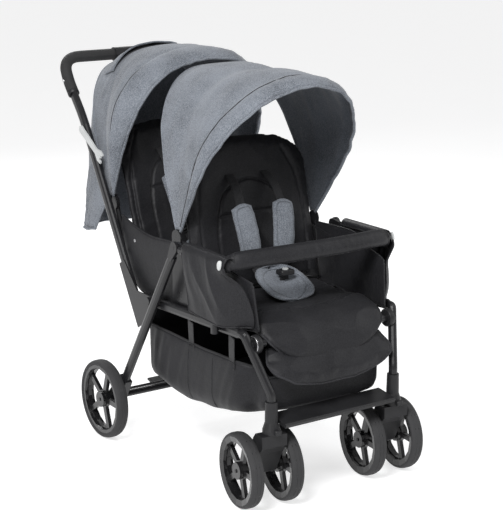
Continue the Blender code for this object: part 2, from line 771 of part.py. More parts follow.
def bumper_bar():
    """A padded bar across the front, plugged into both armrests."""
    middle = ARM_IN_X + ARM_WIDE / 2
    rear = POST_Y - SOCKET_LONG / 2 - GAP
    count = 28

    def across(share):
        c = math.cos(math.pi * share)
        return -middle * math.copysign(abs(c) ** (2 / BUMPER_POWER), c)

    start = rear - 6 * GAP
    path = [at(-middle, rear, ARM_Z)]
    for i in range(count + 1):
        forward = math.sin(math.pi * i / count) ** (2 / BUMPER_POWER)
        path.append(at(across(i / count), start + (BUMPER_Y - start) * forward, ARM_Z))
    path.append(at(middle, rear, ARM_Z))

    def section(share):
        run = min(1.0, max(0.0, (share * (count + 2) - 1) / count))
        inward = (middle - abs(across(run))) / BUMPER_CORNER
        full = min(1.0, BUMPER_END + (1 - BUMPER_END) * inward)
        return oval(BUMPER_R * full * 0.92, BUMPER_R * (0.45 + 0.55 * full), 12, 2.3)

    bm = bmesh.new()
    sweep(bm, path, section, (1, 0, 0))
    bar = finish("bumper_bar", bm, CLOTH)
    for side in (-1, 1):
        bm = bmesh.new()
        low = at(side * middle - TONGUE_HALF, rear - 0.004, ARM_Z - TONGUE_HALF)
        high = at(side * middle + TONGUE_HALF, rear + TONGUE_LONG, ARM_Z + TONGUE_HALF)
        block(bm, low, high)
        joined(bar, finish(sided("tongue", side), bm, PLASTIC))


def handle():
    """One bent tube from side to side, with its foam grips, brackets and fold levers."""
    pivot = at(0, *BOLT)
    middle = RAIL_IN_X + RAIL_WIDE / 2
    high = along(HANDLE_FOOT, HANDLE_RISE_DEG, HANDLE_STRAIGHT)
    half = [at(-middle, *HANDLE_FOOT), at(-middle, *high), at(-NECK_X, *HANDLE_NECK),
            at(-GRIP_CORNER_X, *GRIP_PLACE)]
    other = [Vector((-p.x, p.y, p.z)) for p in reversed(half)]
    path = rounded(half + other, HANDLE_BEND, 4)

    def section(share):
        near = min(share, 1 - share)
        blend = min(1.0, max(0.0, (near - 0.33) / 0.08))
        flat = (RAIL_WIDE / 2, TUBE_DEEP / 2)
        return oval(flat[0] + (GRIP_BAR_R - flat[0]) * blend,
                    flat[1] + (GRIP_BAR_R - flat[1]) * blend, 12, 2.6 - 0.6 * blend)

    bm = bmesh.new()
    sweep(bm, path, section, (1, 0, 0))
    tube = finish("handle_tube", bm, BLACK, pivot)

    bar = at(0, *GRIP_PLACE)
    bore = GRIP_BAR_R + GAP
    bm = bmesh.new()
    profile = [(bore, -GRIP_HALF), (GRIP_R, -GRIP_HALF), (GRIP_R, GRIP_HALF), (bore, GRIP_HALF)]
    turned(bm, profile, bar, 16)
    finish("handle_grip", bm, FOAM, pivot)
    bm = bmesh.new()
    bore = GRIP_R + GAP
    profile = [(bore, -SLEEVE_HALF), (SLEEVE_R, -SLEEVE_HALF), (SLEEVE_R, SLEEVE_HALF), (bore, SLEEVE_HALF)]
    turned(bm, profile, bar, 16)
    finish("handle_sleeve", bm, PLASTIC, pivot)

    plate_in = RAIL_IN_X + RAIL_WIDE + PLATE_GAP
    plate_out = plate_in + BRACKET_THICK
    reach, rise = seen_from_foot(BOLT)
    for side in (-1, 1):
        bm = bmesh.new()
        outline = [along(HANDLE_FOOT, HANDLE_RISE_DEG, d, n) for d, n in (
            (-0.010, -TUBE_DEEP / 2), (BRACKET_LONG, -TUBE_DEEP / 2),
            (BRACKET_LONG, TUBE_DEEP / 2), (reach + 0.045, rise * 0.45),
            (reach + 0.016, rise + 0.004), (reach + 0.008, rise + 0.014),
            (reach - 0.008, rise + 0.014), (reach - 0.016, rise + 0.004), (-0.010, TUBE_DEEP * 0.4),
        )]
        slab(bm, outline, side * plate_in, side * plate_out)
        joined(tube, finish(sided("handle_bracket", side), bm, BLACK, pivot))
        bm = bmesh.new()
        weld = [along(HANDLE_FOOT, HANDLE_RISE_DEG, d, n) for d, n in (
            (0.010, -0.008), (BRACKET_LONG - 0.010, -0.008), (BRACKET_LONG - 0.010, 0.008), (0.010, 0.008),
        )]
        slab(bm, weld, side * (plate_in - 0.004), side * (plate_in + 0.001))
        joined(tube, finish(sided("bracket_weld", side), bm, BLACK, pivot))
        bored(tube, at(side * plate_in, *BOLT), BOLT_SHAFT_R + GAP, 0.01, sided("bracket_bore", side))

        bm = bmesh.new()
        tip = along(LEVER_PLACE, HANDLE_RISE_DEG + LEVER_SLANT_DEG, -LEVER_LONG)
        way = HANDLE_RISE_DEG + LEVER_SLANT_DEG
        outline = ring_outline(LEVER_PLACE, 0.012, way - 60, way + 60, 6)
        outline += [along(tip, way, d, n) for d, n in (
            (0.030, 0.008), (0.012, 0.017), (-0.006, 0.015), (-0.004, 0.009), (0.006, 0.006),
            (0.000, 0.000), (0.006, -0.006), (-0.004, -0.009), (-0.006, -0.015), (0.012, -0.017),
            (0.030, -0.008),
        )]
        slab(bm, outline, side * plate_in, side * (plate_in + LEVER_THICK))
        finish(sided("fold_lever", side), bm, GREY, at(side * plate_in, *LEVER_PLACE))


def seen_from_foot(spot):
    """How far a point lies up the handle's slope from its foot, and how far in front."""
    turn = math.radians(HANDLE_RISE_DEG)
    y = spot[0] - HANDLE_FOOT[0]
    z = spot[1] - HANDLE_FOOT[1]
    return y * math.cos(turn) + z * math.sin(turn), z * math.cos(turn) - y * math.sin(turn)


def canopy_arc(hoop, inset, count):
    """Points (across, out) of one canopy edge, from the near pivot over to the far one."""
    found = []
    for i in range(count):
        turn = CANOPY_START + (math.pi - 2 * CANOPY_START) * i / (count - 1)
        c = math.cos(turn)
        s = math.sin(turn)
        across = (CLOTH_X - inset) * math.copysign(abs(c) ** (2 / CANOPY_POWER), -c)
        found.append((across, (hoop - inset) * s ** (2 / CANOPY_POWER)))
    return found


def canopy_panel(name, pivot, hoops, inset, degrees, rows=3):
    """One panel of a hood: an arc turned about the pivot, from one tilt and hoop to another."""
    grids = []
    for depth in (inset, inset + CANOPY_THICK):
        grid = []
        for i in range(rows + 1):
            tilt = math.radians(degrees[0] + (degrees[1] - degrees[0]) * i / rows)
            hoop = hoops[0] + (hoops[1] - hoops[0]) * i / rows
            grid.append([at(x, pivot[0] + r * math.sin(tilt), pivot[1] + r * math.cos(tilt))
                         for x, r in canopy_arc(hoop, depth, CANOPY_COUNT)])
        grids.append(grid)
    bm = bmesh.new()
    sheet(bm, *grids)
    finish(name, bm, MELANGE, at(0, *pivot))


def canopies():
    step = CANOPY_THICK + CANOPY_CLEAR
    for name, pivot, hoops, tilts in (
        ("front", FRONT_PIVOT, FRONT_HOOPS, FRONT_CANOPY_DEG),
        ("rear", REAR_PIVOT, REAR_HOOPS, REAR_CANOPY_DEG),
    ):
        front = (tilts[0], tilts[1] + CANOPY_LAP_DEG)
        canopy_panel(f"{name}_canopy_front", pivot, hoops[:2], 0.0, front)
        canopy_panel(f"{name}_canopy_rear", pivot, hoops[1:], step, tilts[1:])


def rear_flap():
    """The cloth curtain that hangs from the rear hood's back edge."""
    tilt = math.radians(REAR_CANOPY_DEG[2] + 0.8)
    arc = canopy_arc(REAR_HOOPS[2], CANOPY_THICK + CANOPY_CLEAR, CANOPY_COUNT)
    grids = []
    for depth in (0.0, CANOPY_THICK):
        top = []
        for x, r in arc:
            r = max(r - depth, 0.0)
            shrink = (CLOTH_X - depth) / CLOTH_X
            top.append(at(x * shrink, REAR_PIVOT[0] + r * math.sin(tilt), REAR_PIVOT[1] + r * math.cos(tilt)))
        foot = []
        for i, (x, r) in enumerate(arc):
            share = i / (len(arc) - 1)
            turn = math.pi * share
            c = math.cos(turn)
            across = (FLAP_HALF - depth) * math.copysign(abs(c) ** 0.5, -c)
            back = FLAP_SIDE_Y + (FLAP_BACK_Y - depth - FLAP_SIDE_Y) * abs(math.sin(turn)) ** 0.5
            fold = FLAP_FOLD * math.cos(share * math.pi * 10) * math.sin(turn)
            rise = FLAP_LIFT * (1 - abs(math.sin(turn)))
            foot.append(at(across, back + fold, FLAP_FOOT_Z + rise))
        rows = []
        for k in range(FLAP_ROWS + 1):
            share = k / FLAP_ROWS
            row = []
            for high, low in zip(top, foot):
                spot = high.lerp(low, share)
                spot.y += FLAP_SWELL * math.sin(math.pi * share) * (high.z - low.z)
                row.append(spot)
            rows.append(row)
        grids.append(rows)
    bm = bmesh.new()
    sheet(bm, *grids)
    finish("rear_flap", bm, MELANGE)


def channel(value, place, wide):
    """A sewn channel's depth, from 1 on its line to 0 beyond its width."""
    off = abs(value - place) / wide
    return 0.5 + 0.5 * math.cos(math.pi * off) if off < 1 else 0.0


def pillow(name, origin, up, front, size, spec, pivot, rows=8, columns=12,
           crown=0.35, top_round=0.0, seams=(), tufts=()):
    """A crowned pad. It rises from origin along up and faces front; size is half width,
    length and thickness. Its sides draw in between the corners. Seams are shares of its
    length, tufts are shares of its half width."""
    origin = Vector(origin)
    up = Vector(up).normalized()
    front = Vector(front).normalized()
    across = Vector((1, 0, 0))
    half, long, thick = size
    faces = []
    for face in (1, -1):
        grid = []
        for i in range(rows + 1):
            v = i / rows
            draw = 1 - 0.035 * math.sin(math.pi * v)
            rise = max(0.0, (v - 1 + top_round) / top_round) if top_round else 0.0
            wide = half * draw * (1 - 0.42 * rise ** 2.4)
            row = []
            for j in range(columns + 1):
                u = -1 + 2 * j / columns
                edge = (1 - abs(u) ** 5) * (1 - abs(2 * v - 1) ** 6)
                dip = sum(channel(v, place, 0.07) for place in seams)
                dip += sum(channel(abs(u), place, 0.14) for place in tufts)
                plump = (1 - crown) + crown * math.sqrt(max(edge, 0.0)) * (1 - 0.5 * min(dip, 1))
                low = 0.30 + 0.20 * (edge > 0)
                depth = thick * (plump - 0.5) if face > 0 else -thick * low
                droop = long * 0.05 * (u * u) * (1 - math.sin(math.pi * v)) * (v > 0.5)
                row.append(origin + across * (wide * u) + up * (long * v - droop) + front * depth)
            grid.append(row)
        faces.append(grid)
    bm = bmesh.new()
    sheet(bm, *faces)
    return finish(name, bm, spec, pivot)


def front_seat_height():
    """Middle of the front seat pad, which lies on the front cross tube."""
    return rail_height(CROSS_FRONT_Y) + CROSS_R + GAP + SEAT_THICK / 2


def rear_bar():
    """The bar of the rear seat frame, under the back of the rear seat pad."""
    return REAR_HINGE[0] - REAR_BAR_BEFORE, REAR_HINGE[1] - REAR_BAR_UNDER


def rear_seat_height():
    return rear_bar()[1] + REAR_BAR_R + GAP + SEAT_THICK / 2


def leaning(degrees):
    """The way up a backrest that leans back from upright, and the way it faces."""
    turn = math.radians(degrees)
    return (0, math.sin(turn), math.cos(turn)), (0, -math.cos(turn), math.sin(turn))


def seats():
    for name, hinge, lean, size, span, z in (
        ("front", FRONT_HINGE, FRONT_LEAN_DEG, (FRONT_BACK_HALF, FRONT_BACK_LONG, BACK_THICK),
         FRONT_SEAT, front_seat_height()),
        ("rear", REAR_HINGE, REAR_LEAN_DEG, (REAR_BACK_HALF, REAR_BACK_LONG, BACK_THICK),
         REAR_SEAT, rear_seat_height()),
    ):
        up, face = leaning(lean)
        place = at(0, *hinge)
        pillow(f"{name}_backrest", place, up, face, size, CLOTH, place,
               rows=10, top_round=0.30, seams=(0.30, 0.62), tufts=(0.52,))
        pad = at(0, span[0], z)
        pillow(f"{name}_seat_pad", pad, (0, 1, 0), (0, 0, 1),
               (SEAT_HALF, span[1] - span[0], SEAT_THICK), CLOTH, None, seams=(0.5,), tufts=(0.5,))
    turn = math.radians(LEGREST_DEG)
    place = at(0, *LEGREST_HINGE)
    down = Vector((0, -math.sin(turn), -math.cos(turn)))
    face = Vector((0, -math.cos(turn), math.sin(turn)))
    pillow("legrest", place + down * 0.004, down, face, (LEGREST_HALF, LEGREST_LONG, LEGREST_THICK),
           CLOTH, place, rows=8, crown=0.45, seams=(0.34,))


def harnesses():
    """Shoulder webbing and pads, crotch pad, buckle and its button, for both seats."""
    for name, hinge, lean, buckle_y, z in (
        ("front", FRONT_HINGE, FRONT_LEAN_DEG, FRONT_BUCKLE_Y, front_seat_height() + CROTCH_LIFT[0]),
        ("rear", REAR_HINGE, REAR_LEAN_DEG, REAR_BUCKLE_Y, rear_seat_height() + CROTCH_LIFT[1]),
    ):
        up, face = (Vector(v) for v in leaning(lean))
        place = at(0, *hinge)
        skin = BACK_THICK * 0.5 + 2 * GAP
        for side in (-1, 1):
            slot = place + up * SLOT_UP + face * (skin + STRAP_THICK / 2) + Vector((side * SLOT_X, 0, 0))
            low = place + up * BUCKLE_UP + face * (BUCKLE_OUT + 0.012) + Vector((side * 0.014, 0, 0))
            path = [slot + up * 0.03, slot + up * 0.01, slot.lerp(low, 0.35) + face * 0.012,
                    slot.lerp(low, 0.7) + face * 0.010, low]
            outline = [(-STRAP_HALF, -STRAP_THICK / 2), (STRAP_HALF, -STRAP_THICK / 2),
                       (STRAP_HALF, STRAP_THICK / 2), (-STRAP_HALF, STRAP_THICK / 2)]
            bm = bmesh.new()
            sweep(bm, path, outline, (1, 0, 0))
            strap = finish(sided(f"{name}_shoulder_strap", side), bm, PLASTIC, place)
            high = slot.lerp(low, 0.06) + face * (0.004 + PAD_THICK / 3)
            foot = slot.lerp(low, 0.72) + face * (0.010 + PAD_THICK / 3)
            mid = high.lerp(foot, 0.5) + face * 0.006

            def section(share):
                wide = PAD_HALF * (0.55 + 0.45 * math.sin(math.pi * (0.12 + 0.76 * share)))
                thick = PAD_THICK / 2 * (0.45 + 0.55 * math.sin(math.pi * (0.08 + 0.84 * share)))
                return oval(wide, thick, 10, 2.4)

            bm = bmesh.new()
            sweep(bm, [high, high.lerp(mid, 0.5) + face * 0.002, mid,
                         mid.lerp(foot, 0.5) + face * 0.002, foot], section, (1, 0, 0))
            pad = finish(sided(f"{name}_shoulder_pad", side), bm, MELANGE, place)
            joined(pad, strap)

        base = at(0, buckle_y, 0)
        top = z + SEAT_THICK * 0.5
        pad_up = Vector((0, math.cos(math.radians(CROTCH_DEG)), math.sin(math.radians(CROTCH_DEG))))
        pad_face = Vector((0, -pad_up.z, pad_up.y))
        start = Vector((0, base.y - CROTCH_LONG * pad_up.y, top))
        pillow(f"{name}_crotch_pad", start, pad_up, pad_face, (CROTCH_HALF, CROTCH_LONG, 0.016),
               MELANGE, None, rows=6, columns=8, crown=0.5, top_round=0.6)
        seat = start + pad_up * (CROTCH_LONG + 7 * GAP) + pad_face * 0.002
        bm = bmesh.new()
        block(bm, seat + Vector((-0.021, 0, -0.006)), seat + Vector((0.021, 0.030, 0.008)), 0.003)
        buckle = finish(f"{name}_buckle", bm, PLASTIC)
        middle = seat + Vector((0, 0.015, 0.008))
        bm = bmesh.new()
        rod(bm, middle - Vector((0, 0, 0.0045)), middle + Vector((0, 0, 0.01)), BUCKLE_BUTTON_R + GAP, 14)
        cut(buckle, finish(f"{name}_button_hole", bm, PLASTIC))
        bm = bmesh.new()
        low = middle - Vector((0, 0, 0.0045 - BUTTON_TRAVEL - GAP))
        rod(bm, low, low + Vector((0, 0, 0.004)), BUCKLE_BUTTON_R, 14)
        finish(f"{name}_buckle_button", bm, GREY)


def rear_frame():
    """A welded frame from the rails up to the rear hood's pivots, with its cross bar."""
    middle = FRAME_IN_X + FRAME_R
    start = (CROSS_REAR_Y + CROSS_R + GAP, rail_height(CROSS_REAR_Y))
    heel = (REAR_HINGE[0] - 0.004, REAR_HINGE[1] - 0.026)
    bar = rear_bar()
    bm = bmesh.new()
    rod(bm, at(-middle, *bar), at(middle, *bar), REAR_BAR_R)
    frame = finish("rear_seat_frame", bm, BLACK)
    for side in (-1, 1):
        spots = [at(side * middle, *start), at(side * middle, *heel), at(side * middle, *REAR_PIVOT)]
        bm = bmesh.new()
        sweep(bm, rounded(spots, 0.04), oval(FRAME_R, FRAME_R, 10), (1, 0, 0))
        joined(frame, finish(sided("frame_tube", side), bm, BLACK))
        wall = CLOTH_X - 2 * CANOPY_THICK - CANOPY_CLEAR - GAP
        bm = bmesh.new()
        rod(bm, at(side * middle, *REAR_PIVOT), at(side * wall, *REAR_PIVOT), PIVOT_R, 16)
        joined(frame, finish(sided("hood_disc", side), bm, BLACK))
        hinge = at(0, *REAR_HINGE)
        bm = bmesh.new()
        rod(bm, hinge + Vector((side * (REAR_BACK_HALF + GAP), 0, 0)), hinge + Vector((side * middle, 0, 0)),
            PIN_R, 10)
        joined(frame, finish(sided("rear_recline_pin", side), bm, BLACK))


def panel_plan(share):
    """Plan of a front panel at a share of its height: outer wall, round the post, inner wall.
    Points are (across, station)."""
    outer = ARM_IN_X + ARM_WIDE + GAP + PANEL_THICK
    inner = RAIL_IN_X - 3 * GAP - PANEL_THICK
    nose_x = PANEL_NOSE[0][0] + (PANEL_NOSE[1][0] - PANEL_NOSE[0][0]) * share
    nose_y = PANEL_NOSE[0][1] + (PANEL_NOSE[1][1] - PANEL_NOSE[0][1]) * share
    front = POST_Y - SOCKET_LONG / 2
    return [(outer, PANEL_REAR_Y), (outer, POST_Y + 0.012), (outer, front + 0.004), (outer, front + 0.002),
            (outer - 0.012, front - 0.012), (nose_x + 0.006, nose_y + 0.002), (nose_x, nose_y),
            (nose_x - 0.006, nose_y + 0.008), (inner, front + 0.006), (inner, PANEL_INNER_Y)]


def side_panels():
    """Cloth sides: a wrap round each front armrest post, and inner walls beside the rear seat."""
    for side in (-1, 1):
        grids = [[], []]
        for k in range(PANEL_ROWS + 1):
            share = k / PANEL_ROWS
            plan = [Vector((x, y, 0)) for x, y in panel_plan(share)]
            ways = tangents(plan)
            for grid, depth in zip(grids, (0.0, PANEL_THICK)):
                row = []
                for i, (spot, way) in enumerate(zip(plan, ways)):
                    inward = Vector((way.y, -way.x, 0))
                    low, high = PANEL_OUTER_Z if i < 3 else PANEL_INNER_Z
                    place = spot + inward * depth
                    row.append(at(side * place.x, place.y, low + (high - low) * share))
                grid.append(row)
        bm = bmesh.new()
        sheet(bm, *grids)
        finish(sided("front_side_panel", side), bm, CLOTH)
        bm = bmesh.new()
        outline = [(0.420, 0.446), (0.600, 0.446), (0.648, 0.540), (0.655, 0.618),
                   (0.520, 0.604), (0.420, 0.600)]
        wall = FRAME_IN_X + 2 * FRAME_R + GAP
        slab(bm, outline, side * wall, side * (wall + PANEL_THICK))
        finish(sided("rear_side_panel", side), bm, CLOTH)


def basket():
    """A cloth tub under the seats, open at the top, and the straps that hang it."""
    stations = [
        (0.040, BASKET_NOSE_HALF, 0.236, BASKET_TOP - 0.020),
        (0.100, BASKET_NOSE_HALF, 0.216, BASKET_TOP - 0.010),
        (0.150, BASKET_HALF, 0.204, BASKET_TOP),
        (0.300, BASKET_HALF, 0.178, BASKET_TOP - 0.006),
        (0.430, BASKET_HALF, 0.170, BASKET_TOP - 0.004),
        (0.565, BASKET_HALF, 0.190, BASKET_TOP - 0.003),
    ]
    grids = []
    for depth in (0.0, BASKET_THICK):
        rows = []
        for i, (y, half, low, high) in enumerate(stations):
            if i == 0:
                y += depth
            if i == len(stations) - 1:
                y -= depth
            row = []
            for x, share in ((-1, 1.0), (-1, 0.5), (-0.97, 0.10), (-0.75, 0.0), (0, -0.02),
                             (0.75, 0.0), (0.97, 0.10), (1, 0.5), (1, 1.0)):
                z = low + depth + (high - low - depth) * share
                row.append(at(x * (half - depth), y, z))
            rows.append(row)
        rows.insert(0, [end.copy() for end in rows[0]])
        rows.append([end.copy() for end in rows[-1]])
        for end, station, rise in ((0, stations[0], 0.0), (-1, stations[-1], BASKET_REAR_RISE)):
            for i, spot in enumerate(rows[end]):
                spot.z = station[3] + (rise if 1 < i < len(rows[end]) - 2 else 0.0)
        grids.append(rows)
    bm = bmesh.new()
    sheet(bm, *grids)
    tub = finish("storage_basket", bm, CLOTH)
    outline = [(-0.010, -0.001), (0.010, -0.001), (0.010, 0.001), (-0.010, 0.001)]
    for side in (-1, 1):
        for i, y in enumerate(STRAP_STATIONS):
            wall = side * (BASKET_HALF - 0.0006)
            top = at(side * (RAIL_IN_X + RAIL_WIDE / 2), y, rail_height(y) - RAIL_TALL / 2 - 2.5 * GAP)
            path = [at(wall, y, BASKET_TOP - 0.050), at(wall, y, BASKET_TOP - 0.012),
                    top - Vector((0, 0, 0.010)), top]
            bm = bmesh.new()
            sweep(bm, path, outline, (0, 1, 0))
            joined(tub, finish(sided(f"basket_strap_{i}", side), bm, CLOTH))


def main():
    clear_scene()
    seat_frame()
    front_legs()
    castors()
    footrest()
    rear_legs()
    armrests()
    bumper_bar()
    handle()
    canopies()
    rear_flap()
    seats()
    harnesses()
    rear_frame()
    side_panels()
    basket()


main()
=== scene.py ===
"""The looks of the tandem double stroller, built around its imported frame.

Metres, +Z up, facing -Y, as in the CAD. Stations are distances behind the front castor stems,
and at() turns them into the frame's own places.
"""

import json
import math

import bmesh
import bpy
import numpy as np
from mathutils import Matrix, Vector, noise
from mathutils.bvhtree import BVHTree


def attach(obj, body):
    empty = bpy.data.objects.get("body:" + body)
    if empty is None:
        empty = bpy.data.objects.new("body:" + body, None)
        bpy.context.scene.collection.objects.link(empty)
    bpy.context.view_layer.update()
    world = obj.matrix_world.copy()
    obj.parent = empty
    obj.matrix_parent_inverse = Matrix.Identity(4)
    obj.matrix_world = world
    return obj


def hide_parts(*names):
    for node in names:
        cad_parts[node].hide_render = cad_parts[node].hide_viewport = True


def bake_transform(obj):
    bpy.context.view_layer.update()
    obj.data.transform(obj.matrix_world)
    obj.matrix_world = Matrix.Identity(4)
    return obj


MIDDLE_Y = 0.497
PHOTO_SIZE = (503, 510)
FOCAL_PX = 1481.09
CAMERA_AT = (-2.155, -3.285, 1.493)
CAMERA_AZIMUTH = -34.348
CAMERA_ELEVATION = 13.897
SIDES = (("right", -1), ("left", 1))
THIN_EDGE = 0.30  # a pad's depth at its edge, as a share of its full depth
PUFF_FRAMES = 20  # how long a pad is blown up as cloth
DROP = 0.12  # from how far off points are dropped onto a piece
HOOD_ROOT = 0.2165  # how far out the hood levers are
HOOD_FOOT = 0.020  # how far above its pivot a hood's cloth begins
HOOD_SIZE = (44, 132)  # rows from the rear hoop to the front one, and columns from side to side
VENT = (slice(9, 18), slice(44, 73))  # the rear hood's rows and columns under its vent flap
REAR_HOOD_PIVOT = (0.732, 0.653)
REAR_HOOP_LEAN = 29.5
REAR_HOOP = (0.2150, 0.050, 0.424, 2.7)  # half width, height of that width, height, squareness
FRONT_BACK = ((0.345, 0.462), 12.5)  # a backrest's hinge as station and height, and its lean
REAR_BACK = ((0.660, 0.492), 20.0)
BACKREST_HALF = 0.017
CROTCH_STRAP = ((0.024, -0.020), (0.020, 0.012), (0.022, 0.040))  # behind the buckle and above the seat
REAR_TYRE = 0.1102
CASTOR_TYRE = 0.0962
CASTOR_WHEEL_OUT = 0.0555  # from a castor's axle middle to the middle of its wheels
WALL_CLOTH = 0.0022
MIDDLE_TONE = 0.56  # where a weave's noise changes from dark threads to light ones


def at(x, y, z):
    """A point given behind the castor stems, in the frame's own place."""
    return Vector((x, y - MIDDLE_Y, z))


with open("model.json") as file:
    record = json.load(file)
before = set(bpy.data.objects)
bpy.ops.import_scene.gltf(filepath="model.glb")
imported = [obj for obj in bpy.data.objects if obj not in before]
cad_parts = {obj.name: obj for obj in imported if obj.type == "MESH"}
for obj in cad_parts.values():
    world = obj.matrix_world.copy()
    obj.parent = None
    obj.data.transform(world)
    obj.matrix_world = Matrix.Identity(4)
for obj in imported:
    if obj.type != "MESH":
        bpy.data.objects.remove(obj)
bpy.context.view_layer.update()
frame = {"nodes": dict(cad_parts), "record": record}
nodes = frame["nodes"]


# Materials


class Value:
    """A socket of a node tree, so that sums of sockets are written as sums."""

    def __init__(self, tree, socket):
        self.tree = tree
        self.socket = socket

    def math(self, operation, *others):
        node = self.tree.nodes.new("ShaderNodeMath")
        node.operation = operation
        for slot, value in zip(node.inputs, (self, *others)):
            feed(self.tree, slot, value)
        return Value(self.tree, node.outputs[0])

    def __add__(self, other):
        return self.math("ADD", other)

    def __mul__(self, other):
        return self.math("MULTIPLY", other)

    def step(self, low, high, out_low=0.0, out_high=1.0):
        """This value run smoothly from one range to another."""
        node = self.tree.nodes.new("ShaderNodeMapRange")
        node.interpolation_type = "SMOOTHSTEP"
        for slot, value in zip(node.inputs, (self, low, high, out_low, out_high)):
            feed(self.tree, slot, value)
        return Value(self.tree, node.outputs[0])


def feed(tree, slot, value):
    """Give a socket a fixed value, or link it to another one."""
    if isinstance(value, Value):
        tree.links.new(value.socket, slot)
    else:
        slot.default_value = value


class Finish:
    """A material built from nodes around one Principled shader."""

    def __init__(self, name, **fixed):
        self.made = bpy.data.materials.new(name)
        self.made.use_nodes = True
        self.tree = self.made.node_tree
        self.shader = self.tree.nodes["Principled BSDF"]
        for key, value in fixed.items():
            self.shader.inputs[key.replace("_", " ")].default_value = value
        self.place = self.node("ShaderNodeTexCoord", "Object")

    def node(self, kind, output, **inputs):
        """Any other node: its output by name and its inputs by name."""
        node = self.tree.nodes.new(kind)
        for key, value in inputs.items():
            feed(self.tree, node.inputs[key.replace("_", " ")], value)
        return Value(self.tree, node.outputs[output])

    def grain(self, scale, detail, rough=0.5, spread=(1.0, 1.0, 1.0)):
        """Noise of a fineness, drawn out where spread is below one."""
        place = self.node("ShaderNodeMapping", "Vector", Vector=self.place, Scale=spread)
        return self.node("ShaderNodeTexNoise", "Fac", Vector=place, Scale=scale, Detail=detail,
                         Roughness=rough)

    def colour(self, factor, low, high):
        """A mix of two colours, each three numbers or another mix."""
        node = self.tree.nodes.new("ShaderNodeMix")
        node.data_type = "RGBA"
        feed(self.tree, node.inputs[0], factor)
        for slot, value in ((6, low), (7, high)):
            if isinstance(value, Value):
                self.tree.links.new(value.socket, node.inputs[slot])
            else:
                node.inputs[slot].default_value = (*value, 1.0)
        return Value(self.tree, node.outputs[2])

    def bump(self, height, strength, distance, under=None):
        inputs = {"Height": height, "Strength": strength, "Distance": distance}
        if under is not None:
            inputs["Normal"] = under
        return self.node("ShaderNodeBump", "Normal", **inputs)

    def wear(self, **varying):
        """Link the shader's inputs and give the finished material."""
        for key, value in varying.items():
            self.tree.links.new(value.socket, self.shader.inputs[key.replace("_", " ")])
        return self.made


def fabric(name, tones, thread, contrast, bump, rough=0.92, sheen=0.25, shine=0.25):
    """Woven cloth: crossing threads of mixed tones over slow changes of tone."""
    dark, middle, light = tones
    f = Finish(name, Sheen_Weight=sheen, Sheen_Roughness=0.5, Specular_IOR_Level=shine)
    across = f.grain(thread, 2.0, 0.6, (0.30, 1.0, 1.0))
    down = f.grain(thread, 2.0, 0.6, (1.0, 0.45, 0.30))
    slow = f.grain(9.0, 3.0)
    threads = (across + down) * 0.5
    tone = (threads + slow * 0.12).step(MIDDLE_TONE - contrast, MIDDLE_TONE + contrast)
    colour = f.colour(tone, dark, light)
    colour = f.colour(slow.step(0.35, 0.7), colour, f.colour(threads.step(0.40, 0.60), middle, light))
    folds = f.bump(f.grain(38.0, 4.0, 0.6), 0.25, 0.004)
    weave = f.bump(threads, bump, 0.0006, folds)
    return f.wear(Base_Color=colour, Roughness=slow.step(0.0, 1.0, rough - 0.06, rough + 0.04), Normal=weave)


def coated(name, dark, light, rough, grain_scale, bump, metallic=0.0, coat=0.0, shine=0.5):
    """Lacquered metal or moulded plastic: a fine texture, faint handling marks and dust."""
    f = Finish(name, Metallic=metallic, Coat_Weight=coat, Coat_Roughness=0.12, Specular_IOR_Level=shine)
    fine = f.grain(grain_scale, 3.0, 0.6)
    slow = f.grain(14.0, 4.0, 0.65)
    scuffs = f.grain(55.0, 6.0, 0.7, (1.0, 1.0, 0.15)).step(0.58, 0.75)
    colour = f.colour(slow.step(0.30, 0.75), dark, light)
    colour = f.colour(scuffs * 0.35, colour, tuple(1.6 * c + 0.01 for c in light))
    gloss = slow.step(0.2, 0.8, rough - 0.05, rough + 0.06) + scuffs * 0.08
    return f.wear(Base_Color=colour, Roughness=gloss, Normal=f.bump(fine, bump, 0.0004))


MELANGE = fabric("melange_cloth", ((0.050, 0.056, 0.067), (0.112, 0.124, 0.144), (0.205, 0.222, 0.250)),
                 900.0, 0.12, 0.5, 0.92, 0.12)
LINING = fabric("hood_lining", ((0.030, 0.034, 0.042), (0.050, 0.056, 0.068), (0.085, 0.094, 0.110)),
                700.0, 0.12, 0.3)
BLACK_TONES = ((0.0055, 0.0055, 0.0065), (0.0095, 0.0095, 0.0110), (0.019, 0.019, 0.0215))
BLACK_CLOTH = fabric("black_cloth", BLACK_TONES, 900.0, 0.12, 0.25, 0.52, 0.02, 0.20)
SOFT_CLOTH = fabric("seat_cloth", BLACK_TONES, 900.0, 0.14, 0.22, 0.54, 0.02, 0.20)
WEBBING = fabric("webbing", ((0.007, 0.007, 0.008), (0.011, 0.011, 0.012), (0.024, 0.024, 0.026)),
                 900.0, 0.10, 0.6, 0.85, 0.08)
# Painted light: black cloth lightened as a painted highlight on the real piping cords of the seat and leg
# rest. Being far darker than the hood's cloth, it is also used as painted shade inside the rear hood's vent.
CORD_HIGHLIGHT_AND_VENT_SHADE = fabric("cord_highlight_and_vent_shade", ((0.012, 0.012, 0.014), (0.018, 0.018, 0.021), (0.034, 0.034, 0.038)),
                    900.0, 0.10, 0.5, 0.85, 0.05)
EDGING = fabric("edge_tape", ((0.045, 0.050, 0.060), (0.070, 0.078, 0.092), (0.120, 0.132, 0.150)),
                900.0, 0.10, 0.8)
TUBE = coated("satin_lacquer", (0.0090, 0.0090, 0.0100), (0.0130, 0.0130, 0.0145), 0.30, 900.0, 0.06,
              coat=0.10, shine=0.28)
PLASTIC = coated("black_plastic", (0.0110, 0.0110, 0.0120), (0.0170, 0.0170, 0.0185), 0.46, 1400.0, 0.30,
                 shine=0.28)
RIM = coated("gloss_rim", (0.0070, 0.0070, 0.0075), (0.0110, 0.0110, 0.0118), 0.24, 500.0, 0.05,
             coat=0.25, shine=0.35)
TYRE = coated("tyre_rubber", (0.0190, 0.0190, 0.0203), (0.0310, 0.0310, 0.0326), 0.78, 700.0, 0.5)
